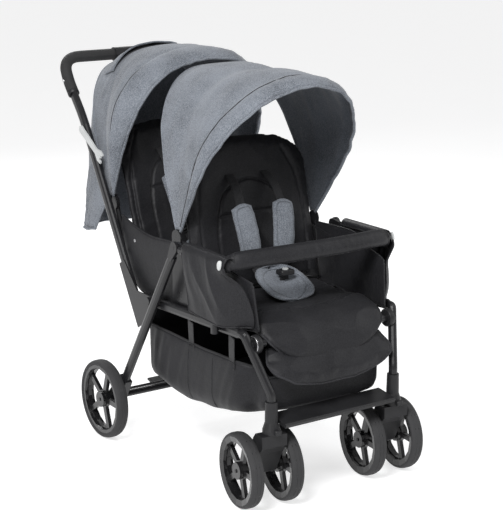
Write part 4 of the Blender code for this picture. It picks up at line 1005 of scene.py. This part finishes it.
def front_panel(name, side):
    """The cloth over an armrest: an outer wall that closes over the rail, and an inner wall."""
    front = [(0.203, 0.060, 0.456), (0.203, 0.056, 0.480), (0.209, 0.062, 0.515), (0.219, 0.076, 0.552),
             (0.246, 0.088, 0.579), (0.2655, 0.091, 0.597), (0.2660, 0.090, 0.618)]
    if side > 0:
        front[-2:] = [(0.2655, 0.100, 0.597), (0.2660, 0.112, 0.618)]
    rear = [(0.262, 0.462), (0.268, 0.520), (0.276, 0.580), (0.286, 0.618)]
    rows = 44
    wall = 32
    columns = 64
    grid = np.zeros((rows + 1, columns + 1, 3))
    for i in range(rows + 1):
        share = min(1.0, i / wall)
        ahead = edge_at(front, share)
        behind = edge_at(rear, share)
        over = max(0.0, (i - wall) / (rows - wall))
        for j in range(columns + 1):
            t = j / columns
            y = ahead[1] + (behind[1] - ahead[1]) * t
            z = ahead[2] + (behind[2] - ahead[2]) * t - 0.004 * math.sin(math.pi * t) * (1 - share)
            flat = 0.2590 + 0.0066 * smooth(share, 0.1, 0.9)
            x = ahead[0] + (flat - ahead[0]) * math.sin(math.pi / 2 * min(1.0, t / 0.36)) ** 1.2
            if over:
                turn = math.pi * over * 1.05
                x = 0.2520 + 0.0136 * math.cos(turn) - (0.0016 if not t else 0.0)
                z += 0.0125 * math.sin(turn)
            loose = (math.sin(math.pi * min(1.0, share * 0.9 + 0.05)) ** 0.6) if not over else 0.12
            hang = (1 - t) ** 0.5 * t ** 0.25 * 1.6
            slant = (y - z) + 0.25 * (y + z) ** 2
            crease = 1 - 2 * abs(rough((slant, (y + z) * 0.30, side * 0.3), 0.105, 21.0)) ** 0.8
            fine = rough((slant, (y + z) * 0.5, side * 0.3), 0.030, 24.0)
            x += loose * (0.0040 + 0.0070 * crease * hang + 0.0016 * fine)
            grid[i, j] = at(side * x, y, z)
    piece = sewn(f"front_side_cloth_{name}", grid, BLACK_CLOTH, "chassis", WALL_CLOTH)
    instead_of(piece, "black_cloth", f"front_side_panel_{name}")
    sheet_area(grid)
    edges = (("front", grid[:wall + 1:3, 0]), ("low", grid[0, ::4]),
             ("rear", grid[:wall + 1:3, columns]), ("top", grid[rows, ::4]))
    hems("front_side", name, edges, 0.0023, 3)
    seam = [Vector(grid[i, 4]) + Vector((side * 0.0016, 0, 0)) for i in range(1, wall - 2, 2)]
    piping(f"front_side_seam_{name}", seam, 0.0007, WEBBING, "chassis", (0, 1, 0), 6, 2)

    front_inner(name, side)
    nearby = np.linalg.norm(grid[:wall, :, 1:] - np.array([0.106 - MIDDLE_Y, 0.614]), axis=2)
    i, j = np.unravel_index(int(nearby.argmin()), nearby.shape)
    badge(name, side, Vector(grid[i, j]), Vector(outward(grid, (side, 0, 0))[i, j]))


def front_inner(name, side):
    """The inner wall, from the seat's edge up to the armrest."""
    low = [(0.196, 0.046, 0.450), (0.203, 0.080, 0.446), (0.213, 0.140, 0.446),
           (0.215, 0.230, 0.448), (0.215, 0.350, 0.456)]
    high = [(0.204, 0.062, 0.566), (0.211, 0.090, 0.574), (0.215, 0.140, 0.584), (0.215, 0.176, 0.606),
            (0.215, 0.230, 0.616), (0.215, 0.372, 0.612)]

    def place(share, t):
        foot = edge_at(low, t)
        x, y, z = foot + (edge_at(high, t) - foot) * share
        crease = folded((y * 0.8 - z * 0.3, z * 0.25, side * 0.7), 0.040, 26.0)
        slack = 0.0022 * (1 + crease) * math.sin(math.pi * share) * abs(math.sin(math.pi * t)) ** 0.4
        return at(side * (x - slack), y, z)

    inner = grid_of(22, 60, place)
    lining = sewn(f"front_side_inner_{name}", inner, BLACK_CLOTH, "chassis", WALL_CLOTH)
    sheet_area(inner)
    edges = (("front", inner[::3, 0]), ("top", inner[-1, ::4]), ("low", inner[0, ::4]))
    hems("front_inner", name, edges, 0.0024, 3)


def badge(name, side, spot, facing):
    """The bare oval badge, domed and leaning a little outward."""
    facing = (facing + Vector((side, -0.1, 0)) * 1.2).normalized()
    across = facing.cross(Vector((0, 0, 1))).normalized()
    up = across.cross(facing).normalized()
    dome = ((1.0, -0.0010), (1.0, 0.0034), (0.90, 0.0043), (0.84, 0.0041), (0.50, 0.0047), (0.12, 0.0049))
    bm = bmesh.new()
    loft(bm, [ring(spot + facing * lift, across, up, oval(0.0078 * wide, 0.0120 * wide, 36))
              for wide, lift in dome])
    finish(f"side_badge_{name}", bm, GREY, "chassis", 50)


def leg_hinges():
    """The round joint covers beside the leg rest. The right one has a bright arc."""
    cover = [(0.0, 0.0), (0.0215, 0.0), (0.0235, 0.0025), (0.0235, 0.0120), (0.0215, 0.0150),
             (0.0180, 0.0158), (0.0170, 0.0145), (0.0075, 0.0145), (0.0065, 0.0165), (0.0, 0.0170)]
    for name, side in SIDES:
        centre = at(side * 0.1985, 0.045, 0.419)
        turned(f"leg_joint_cover_{name}", cover, centre, 48, (side, 0, 0), PLASTIC, "leg_support", 40)
        if name == "right":
            arc = [centre + Vector((side * 0.0152, 0.0200 * math.sin(a), 0.0200 * math.cos(a)))
                   for a in np.linspace(-2.4, 0.3, 19)]
            piping("leg_joint_arc_right", arc, 0.0013, STEEL, "leg_support", (1, 0, 0), 8, 2)


def tyres():
    """A round tyre with two fine grooves over the tread of each wheel."""
    half = 0.0172
    tread = ((0.0128, 0.83), (0.0100, 0.97), (0.0072, 1.0), (0.0044, 0.95), (0.0022, 0.80), (0.0008, 0.56),
             (0.0, 0.34), (0.0009, 0.28), (0.0, 0.22))  # depth below the tread, share of the half width
    for joint in frame["record"]["behaviour"]["joints"]:
        if not joint["name"].endswith("_spin"):
            continue
        axle = Vector(joint["axis"]).normalized()
        hub = Vector(joint["pos_m"])
        radius = REAR_TYRE if "rear" in joint["name"] else CASTOR_TYRE
        if radius == CASTOR_TYRE:
            outer = ("left" in joint["name"]) == ("outer" in joint["name"])
            hub += axle * (CASTOR_WHEEL_OUT if outer else -CASTOR_WHEEL_OUT)
        profile = ([(radius - deep, -share * half) for deep, share in tread]
                   + [(radius - deep, share * half) for deep, share in reversed(tread)])
        turned(joint["name"].replace("_spin", "_tread"), profile, hub, 80, axle, TYRE, joint["child"], 30)


def bend(start, corner, end, count=8):
    """A round bend between two straight runs that meet in a corner."""
    return [start * (1 - t) ** 2 + corner * 2 * t * (1 - t) + end * t * t for t in np.linspace(0, 1, count)]


def handle_corners():
    """Foam over the handle's bends, from the straight grip down past the corners, and its end clips."""
    collar = [(0.0105, -0.004), (0.0150, -0.004), (0.0165, -0.0025),
              (0.0165, 0.006), (0.0140, 0.009), (0.0105, 0.009)]
    rivet = [(0.0, 0.0), (0.0042, 0.0), (0.0040, 0.0012), (0.0026, 0.0021), (0.0, 0.0024)]

    def section(share):
        size = 0.0163 * (0.88 + 0.12 * smooth(1 - share, 0.0, 0.04))
        return oval(size, size, 28)

    for name, side in SIDES:
        grip = at(side * 0.1503, 1.022, 1.024)
        corner = at(side * 0.206, 1.022, 1.024)
        neck = at(side * 0.214, 0.968, 0.958)
        low = at(side * 0.231, 0.8585, 0.8760)
        fall = (neck - corner).normalized()
        after = (low - neck).normalized()
        path = bend(grip, corner, corner + fall * 0.055)
        path += bend(neck - fall * 0.022, neck, neck + after * 0.022, 5) + [neck + after * 0.040]
        path = [Vector(p) for p in run_through(path, 41)]
        bm = bmesh.new()
        sweep(bm, path, section, (0, 1, 0))
        finish(f"handle_corner_foam_{name}", bm, FOAM, "handle", 50)
        turned(f"handle_clip_{name}", collar, path[-1], 32, after, PLASTIC, "handle", 40)
        spot = neck + Vector((side * 0.0158, 0.004, 0.006))
        turned(f"handle_rivet_{name}", rivet, spot, 20, (side, 0, 0), STEEL, "handle", 50)


def rear_side(name, side):
    """The cloth wall beside the rear seat, hung from the frame by snaps."""
    rows = 30
    columns = 44
    top = [(0.300, 0.586), (0.400, 0.602), (0.460, 0.600), (0.530, 0.598), (0.610, 0.610), (0.676, 0.628)]
    foot = [(0.285, 0.444), (0.400, 0.436), (0.460, 0.432), (0.540, 0.430), (0.612, 0.452), (0.672, 0.565)]
    high = run_through([(0, y, z) for y, z in top], columns + 1)
    low = run_through([(0, y, z) for y, z in foot], columns + 1)

    def place(share, t):
        j = round(t * columns)
        _, y, z = low[j] + (high[j] - low[j]) * share
        loose = abs(math.sin(math.pi * share)) ** 0.5 * math.sin(math.pi * min(1.0, t * 0.9 + 0.05)) ** 0.5
        drape = (z - 0.44) * 0.75 + (y - 0.4) * 0.45
        fold = folded((drape * 0.8, y * 0.15, side), 0.045, 31.0)
        return at(side * (0.2140 + 0.0045 * loose * (0.5 + fold)), y, z)

    grid = grid_of(rows, columns, place)
    piece = sewn(f"rear_side_cloth_{name}", grid, BLACK_CLOTH, "chassis", WALL_CLOTH)
    instead_of(piece, "black_cloth", f"rear_side_panel_{name}")
    sheet_area(grid)
    edges = (("top", grid[rows, ::4]), ("low", grid[0, ::4]),
             ("rear", grid[::3, columns]), ("front", grid[::3, 0]))
    hems("rear_side", name, edges, 0.0021, 2)
    size = 0.0048
    stud = [(0.0, 0.0), (size, 0.0), (size, 0.0008), (size * 0.92, 0.0016), (size * 0.72, 0.0013),
            (size * 0.55, 0.0014), (size * 0.30, 0.0024), (0.0, 0.0026)]
    for label, y, z in (("rear", 0.606, 0.572), ("front", 0.420, 0.575)):
        j = int(np.argmin(abs(grid[rows // 2, :, 1] + MIDDLE_Y - y)))
        i = int(np.argmin(abs(grid[:, j, 2] - z)))
        spot = Vector(grid[i, j]) + Vector((side * 0.001, 0, 0))
        turned(f"snap_{name}_{label}", stud, spot, 20, (side, 0, 0), STEEL, "chassis", 60)


def rear_curtain():
    """The curtain that hangs from the rear hood's back edge, with its hems and a stitched line."""
    rows = 40
    columns = 120
    tilt = math.radians(REAR_HOOP_LEAN)
    arc = arc_points(REAR_HOOP, columns + 1)
    grid = np.zeros((rows + 1, columns + 1, 3))
    for j, (x, h) in enumerate(arc):
        share = j / columns
        high = hoop_point(REAR_HOOD_PIVOT, tilt, x, h, REAR_HOOP[2])
        turn = math.pi * share
        s = math.sin(turn)
        across = REAR_HOOP[0] * squared(-math.cos(turn), 0.5)
        back = 0.832 + 0.136 * abs(s) ** 0.6
        fold = 0.006 * math.cos(share * math.pi * 10) * s + 0.003 * math.cos(share * math.pi * 23) * s
        low = at(across, back + fold, 0.545 + 0.014 * (1 - s) ** 6)
        for i in range(rows + 1):
            v = i / rows
            spot = high.lerp(low, v)
            spot.y += 0.03 * math.sin(math.pi * v) * (high.z - low.z)
            grid[i, j] = spot
    normal = outward(grid, (0, 1, 0))

    def push(v, u, _):
        far = 0.005 * rough((u * 6.0, v * 0.9, 0.3), 0.30, 41.0) * smooth(v, 0.05, 0.5)
        far += 0.0016 * rough((u * 6.0, v * 3.0, 0.3), 0.14, 42.0)
        return far * min(1.0, 10 * u, 10 * (1 - u)) if v else 0.0

    grid = pushed(grid, normal, push)
    piece = sewn("rear_curtain", grid, MELANGE, "chassis", WALL_CLOTH, LINING, grid.mean(axis=(0, 1)))
    instead_of(piece, "grey_melange", "rear_flap")
    sheet_area(grid)
    piping("rear_curtain_hem", grid[rows, ::2], 0.0030, MELANGE, "chassis", (0, 0, 1), 8, 2)
    for label, j in (("left", 0), ("right", columns)):
        piping(f"rear_curtain_{label}_hem", grid[::2, j], 0.0026, MELANGE, "chassis", (0, 1, 0), 8, 2)
    stitch = lifted(grid[rows - 2, 1:columns:2], normal[rows - 2, 1:columns:2], 0.0008)
    piping("rear_curtain_stitch", stitch, 0.0007, EDGING, "chassis", (0, 0, 1), 6, 2)


def basket():
    """The sagging basket with its rims, seams and end walls."""
    stations = [  # station, half width, height of the floor, height of the rim
        (0.040, 0.168, 0.238, 0.327), (0.100, 0.169, 0.218, 0.337), (0.150, 0.196, 0.206, 0.346),
        (0.230, 0.197, 0.190, 0.344), (0.300, 0.197, 0.180, 0.341), (0.430, 0.197, 0.172, 0.343),
        (0.565, 0.196, 0.192, 0.344),
    ]
    rows = 60
    columns = 96
    lines = [run_through([(station[0], station[k], 0) for station in stations], rows + 1) for k in (1, 2, 3)]
    grid = np.zeros((rows + 1, columns + 1, 3))
    for i in range(rows + 1):
        y = lines[0][i, 0]
        half, low, high = (float(np.interp(y, line[:, 0], line[:, 1])) for line in lines)
        wall = [(half, high), (half, (high + low) / 2),
                (half * 0.975, low + 0.020), (half * 0.80, low + 0.001)]
        section = run_through([(-x, z, 0) for x, z in wall] + [(0, low - 0.004, 0)]
                              + [(x, z, 0) for x, z in reversed(wall)], columns + 1)
        for j, (x, z, _) in enumerate(section):
            grid[i, j] = at(x, y, z)
    normal = outward(grid, (0, 0, -1))

    def push(v, u, spot):
        t = abs(2 * u - 1)
        wall = smooth(t, 0.50, 0.68)
        x, y, z = spot
        loose = abs(math.sin(math.pi * min(1.0, max(0.0, (1 - t) / 0.5)))) ** 0.5 if t > 0.5 else 0.6
        hang = folded((y + MIDDLE_Y + (z - 0.34) * 0.35, z * 0.16, x * 0.2), 0.040, 51.0)
        far = wall * loose * (0.0030 + 0.0046 * hang) + (1 - wall) * 0.0030 * rough(spot, 0.06, 52.0)
        return far * min(1.0, 12 * v + 0.15, 12 * (1 - v) + 0.15)

    grid = pushed(grid, normal, push)
    piece = sewn("basket_tub", grid, BLACK_CLOTH, "chassis", 0.0026)
    instead_of(piece, "black_cloth", "storage_basket")
    sheet_area(grid)
    for label, j in (("right", 0), ("left", columns)):
        piping(f"basket_rim_{label}", grid[::3, j], 0.0030, WEBBING, "chassis", (1, 0, 0), 8, 2)
        step = 3 if j == 0 else -3
        down = [j + step * n for n in range(9)]
        for k, row in enumerate((24, 37)):
            seam = lifted(grid[row, down], normal[row, down], 0.0014)
            piping(f"basket_seam_{label}_{k}", seam, 0.0010, WEBBING, "chassis", (0, 1, 0), 6, 2)
    for label, row, rise in (("front", 0, 0.0), ("rear", rows, 0.052)):
        wall = []
        for k in range(13):
            share = k / 12
            line = []
            for j, (x, y, z) in list(enumerate(grid[row]))[::2]:
                t = abs(2 * j / columns - 1)
                top = grid[row, 0, 2] + rise * (1 - smooth(t, 0.86, 1.0))
                ripple = rough((x, share * 0.2, row), 0.09, 53.0)
                bulge = 0.005 * math.sin(math.pi * share) * (1 - t ** 4) * ripple
                line.append((x, y + bulge, z + (max(top, z) - z) * share))
            wall.append(line)
        wall = np.array(wall)
        back = sewn(f"basket_{label}_wall", wall, BLACK_CLOTH, "chassis", 0.0024)
        sheet_area(wall)
        piping(f"basket_{label}_hem", wall[-1, ::3], 0.0028, WEBBING, "chassis", (0, 0, 1), 8, 2)
    basket_straps()


def basket_straps():
    """The straps that hang the basket from the rails, with their slide buckles."""
    for name, side in SIDES:
        for k, (y, rail) in enumerate(((0.160, 0.4262), (0.350, 0.4200))):
            wall = side * 0.1990
            path = curve_through([at(wall, y, 0.262), at(wall, y, 0.300), at(wall + side * 0.0008, y, 0.346),
                                  at(wall + side * 0.016, y - 0.022, 0.385),
                                  at(side * 0.231, y - 0.046, rail)], 8)
            strap = oval(0.0120, 0.0011, 16, 6.0)
            swept(f"basket_strap_{name}_{k}", path, strap, (0, 1, 0), WEBBING, "chassis")
            slide = [at(wall + side * 0.0016, y + 0.0128 * a, 0.332 + 0.0090 * b)
                     for a, b in squared_loop(0.35, 32)]
            slide[-1] = slide[0]
            swept(f"strap_slide_{name}_{k}", slide, oval(0.0016, 0.0016, 8), (1, 0, 0), PLASTIC, "chassis")


def bumper():
    """The padded bar in its cloth sleeve, with the seam along its back and its sewn ends."""
    middle = 0.2525
    rear = 0.1347
    ahead = 0.084
    level = 0.6040
    count = 120

    def spot(share):
        forward = math.sin(math.pi * share) ** (2 / 2.8)
        return at(-middle * squared(math.cos(math.pi * share), 2 / 2.8), rear + (ahead - rear) * forward,
                  level + 0.0160 * smooth(forward, 0.15, 0.85))

    def full(share):
        """The bar's thickness, which falls off towards its ends."""
        return 0.62 + 0.38 * smooth(min(share, 1 - share), 0.0, 0.10)

    def section(share):
        broad = 0.03 * rough((share * 6.0, 0.0, 0.0), 0.22, 61.0)
        fine = 0.025 * rough((share * 6.0, 2.0, 0.0), 0.07, 62.0)
        swell = 1 + broad + fine
        size = full(share)
        around = []
        for k, (a, b) in enumerate(oval(0.0175 * size * swell, 0.0225 * size * swell, 40, 2.4)):
            turn = 2 * math.pi * (k + 0.5) / 40
            ridge = rough((share * 2.2 + 0.06 * math.sin(turn), math.cos(turn) * 0.2, 0.4), 0.045, 63.0)
            crease = 1 - 0.035 * (1 - smooth(abs(ridge), 0.0, 0.22))
            around.append((a * crease, b * crease))
        return around

    path = [at(-middle, rear + 0.0008, level)] + [spot(k / count) for k in range(1, count)]
    path.append(at(middle, rear + 0.0008, level))
    path = [Vector(p) for p in run_through(path[::3], count + 1)]
    bar = swept("bumper_sleeve", path, section, (1, 0, 0), BLACK_CLOTH, None)
    seams = []
    for z, y in ((-0.0215, 0.006), (0.0205, 0.008)):
        seams.append([p + Vector((0, y, z)) for p in path[10:-10:4]])
    pressed(bar, seams, 0.0018, 0.0022, 0.0006, 64.0)
    cushion(bar, "bumper", "black_cloth", "bumper_bar")
    for k, line in enumerate(seams):
        piping(f"bumper_seam_{k}", nearest(bar, line), 0.0011, BLACK_CLOTH, "bumper", (0, 0, 1), 6, 2)
    upright = Vector((0, 0, 1))
    frill_sizes = (0.86, 1.02, 1.12, 1.16, 1.10, 1.16, 1.12, 1.05, 1.0)
    for name, side in SIDES:
        run = path if name == "right" else path[::-1]
        for k, share in enumerate((0.050, 0.074)):
            n = int(round(share * count))
            way = (run[n + 1] - run[n]).normalized()
            flat = way.cross(upright).normalized()
            size = full(share) * 1.015
            cord = ring(run[n], flat, upright, oval(0.0175 * size, 0.0225 * size, 40, 2.4))
            cord.append(cord[0])
            swept(f"bumper_cuff_{name}_{k}", cord, oval(0.0009, 0.0009, 6), way, WEBBING, "bumper")
        last = len(frill_sizes) - 1
        frill = []
        for k, size in enumerate(frill_sizes):
            way = (run[min(k + 1, last)] - run[max(k - 1, 0)]).normalized()
            flat = way.cross(upright).normalized()
            size *= full(k / count)
            frill.append(ring(run[k], flat, upright, oval(0.0180 * size, 0.0230 * size, 40, 2.4)))
        bm = bmesh.new()
        loft(bm, frill)
        cuff = finish(f"bumper_end_cuff_{name}", bm, BLACK_CLOTH, None, 0)
        rounded(cuff)
        creased(cuff, 0.016, 0.0012, (1, 1, 1), 66.0)
        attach(cuff, "bumper")
        tongue = ((0.128, 0.0048), (0.160, 0.0048), (0.166, 0.0044), (0.168, 0.0036))  # station, half width
        bm = bmesh.new()
        loft(bm, [[at(side * middle + a, y, 0.605 + b) for a, b in oval(wide, wide, 20, 6.0)]
                  for y, wide in tongue])
        finish(f"bumper_tongue_{name}", bm, PLASTIC, "bumper", 40)


def harness(name, hinge, lean, buckle_y, seat_top, pads, oval_y):
    """Shoulder straps with their sewn pads, and the crotch pad with the buckle's webbing.
    pads is the top and the foot of a shoulder pad, each as distance out, station and height."""
    body = f"{name}_back"
    up, facing = leaning(lean)
    place = at(0, *hinge)
    for tag, side in SIDES:
        slot = place + up * 0.305 + facing * 0.018 + Vector((side * 0.055, 0, 0))
        high, low = (at(side * x, y, z) for x, y, z in pads)
        along_pad = (low - high).normalized()
        out = Vector((1, 0, 0)).cross(along_pad).normalized()
        if out.y > 0:
            out = -out
        across = along_pad.cross(out).normalized()
        long = (low - high).length

        def place_on(u, v):
            wide = 0.0325 * (1 - 0.10 * abs(2 * v - 1) ** 3)
            corner = 0.010 * max(0.0, abs(2 * v - 1) - 0.86) / 0.14 * abs(u) ** 2
            s = v * long + (corner if v < 0.5 else -corner)
            bow = 0.006 * math.sin(math.pi * v)
            return high + along_pad * s + across * (wide * u) + out * (bow - 0.004 * u * u), out

        pad = padding(f"{name}_strap_pad_{tag}", pad_grid(place_on, 34, 18, 0.0085, 0.0045, 5.0), MELANGE)
        rounded(pad)
        creased(pad, 0.030, 0.0010, (1, 1, 1), 71.0 + side)
        border = [place_on(0.80 * a, 0.5 + 0.435 * b)[0] for a, b in squared_loop(0.4, 48)]
        border = on_surface(pad, border, out)
        pressed(pad, [border], 0.0016, 0.0018, 0.0004, 72.0)
        cushion(pad, body, "grey_melange", f"{name}_shoulder_pad_{tag}")
        stitched = [p + out * 0.0001 for p in border[::2]]
        piping(f"{name}_pad_stitch_{tag}", stitched, 0.0006, EDGING, body, (1, 0, 0), 6, 2)

        end = at(side * 0.014, oval_y + 0.040, seat_top)
        turn_in = at(side * 0.034, pads[1][1] + 0.006, pads[1][2] - 0.036)
        path = curve_through([slot - facing * 0.010, slot + facing * 0.004 + up * 0.004,
                              slot.lerp(high, 0.5) + facing * 0.010, high + along_pad * 0.02 - out * 0.002,
                              high.lerp(low, 0.5) - out * 0.001, low - along_pad * 0.01 - out * 0.001,
                              turn_in, end], 8)
        swept(f"{name}_webbing_{tag}", path, oval(0.0125, 0.0010, 16, 6.0), (1, 0, 0), WEBBING, body)
        centre = low.lerp(turn_in, 0.45)
        way = (turn_in - low).normalized()
        face = Vector((1, 0, 0)).cross(way).normalized()
        wide = way.cross(face).normalized()
        slide = ring(centre, wide, way, oval(0.0165, 0.0100, 40, 5.0))
        bm = bmesh.new()
        sweep(bm, slide + [slide[0]], oval(0.0019, 0.0019, 8), face)
        rod(bm, centre - wide * 0.0155, centre + wide * 0.0155, 0.0019, 10, 0.0004)
        finish(f"{name}_slide_{tag}", bm, PLASTIC, body, 0)
    crotch_pad(name, seat_top, oval_y)
    path = curve_through([at(0, buckle_y + y, seat_top + z) for y, z in CROTCH_STRAP], 6)
    swept(f"{name}_crotch_webbing", path, oval(0.0140, 0.0010, 16, 6.0), (1, 0, 0), WEBBING, "chassis")


def crotch_pad(name, seat_top, oval_y):
    """The oval pad between the legs, with its bound edge and its stitched crease."""
    turn = math.radians(24)
    rise = Vector((0, math.cos(turn), math.sin(turn)))
    face = Vector((0, -math.sin(turn), math.cos(turn)))
    start = Vector((-0.010, oval_y - MIDDLE_Y, seat_top + 0.009))

    def place(u, v):
        s = 2 * v - 1
        wide = 0.0670 * (1 - abs(s) ** 3.0) ** 0.45 * (1 - 0.06 * s) + 0.003
        cup = 0.014 * u * u
        return start + rise * (0.0720 * s) + Vector((wide * u, 0, 0)) + face * (0.002 + cup), face

    pad = padding(f"{name}_crotch_cushion", pad_grid(place, 30, 22, 0.0085, 0.0040, 4.0, 0.8), MELANGE)
    rounded(pad)
    creased(pad, 0.024, 0.0010, (1, 1, 1), 74.0)
    inner = [place(0.80 * squared(math.cos(t), 0.9), 0.5 + 0.43 * math.sin(t))[0]
             for t in np.linspace(0, 2 * math.pi, 37)]
    crease = [place(u, 0.66 - 0.06 * u * u)[0] for u in np.linspace(-0.62, 0.62, 9)]
    inner, crease = (on_surface(pad, line, face) for line in (inner, crease))
    pressed(pad, [inner, crease], 0.0014, 0.0018, 0.0005, 75.0)
    cushion(pad, "chassis", "grey_melange", f"{name}_crotch_pad")
    shares = [float(v) for v in np.linspace(0.0, 1.0, 20)]
    rim = [place(1.0, v)[0] for v in shares] + [place(-1.0, v)[0] for v in reversed(shares)]
    rim = nearest(pad, rim + [rim[0]])
    piping(f"{name}_crotch_binding", rim, 0.0021, EDGING, "chassis", (0, 0, 1), 8, 2)
    piping(f"{name}_crotch_stitch", inner[::2], 0.0006, EDGING, "chassis", (0, 0, 1), 6, 2)


camera_and_stage()
cad_finishes()
front_hood()
rear_hood()
backrest("front", *FRONT_BACK, 0.415, 0.208, 11.0)
backrest("rear", *REAR_BACK, 0.400, 0.188, 12.0)
front_seat()
rear_seat()
for name, side in SIDES:
    front_panel(name, side)
    rear_side(name, side)
leg_hinges()
tyres()
handle_corners()
rear_curtain()
basket()
bumper()
harness("front", *FRONT_BACK, 0.195, 0.4882, ((0.066, 0.318, 0.702), (0.050, 0.287, 0.568)), 0.208)
harness("rear", *REAR_BACK, 0.562, 0.4993, ((0.066, 0.666, 0.732), (0.050, 0.614, 0.598)), 0.548)
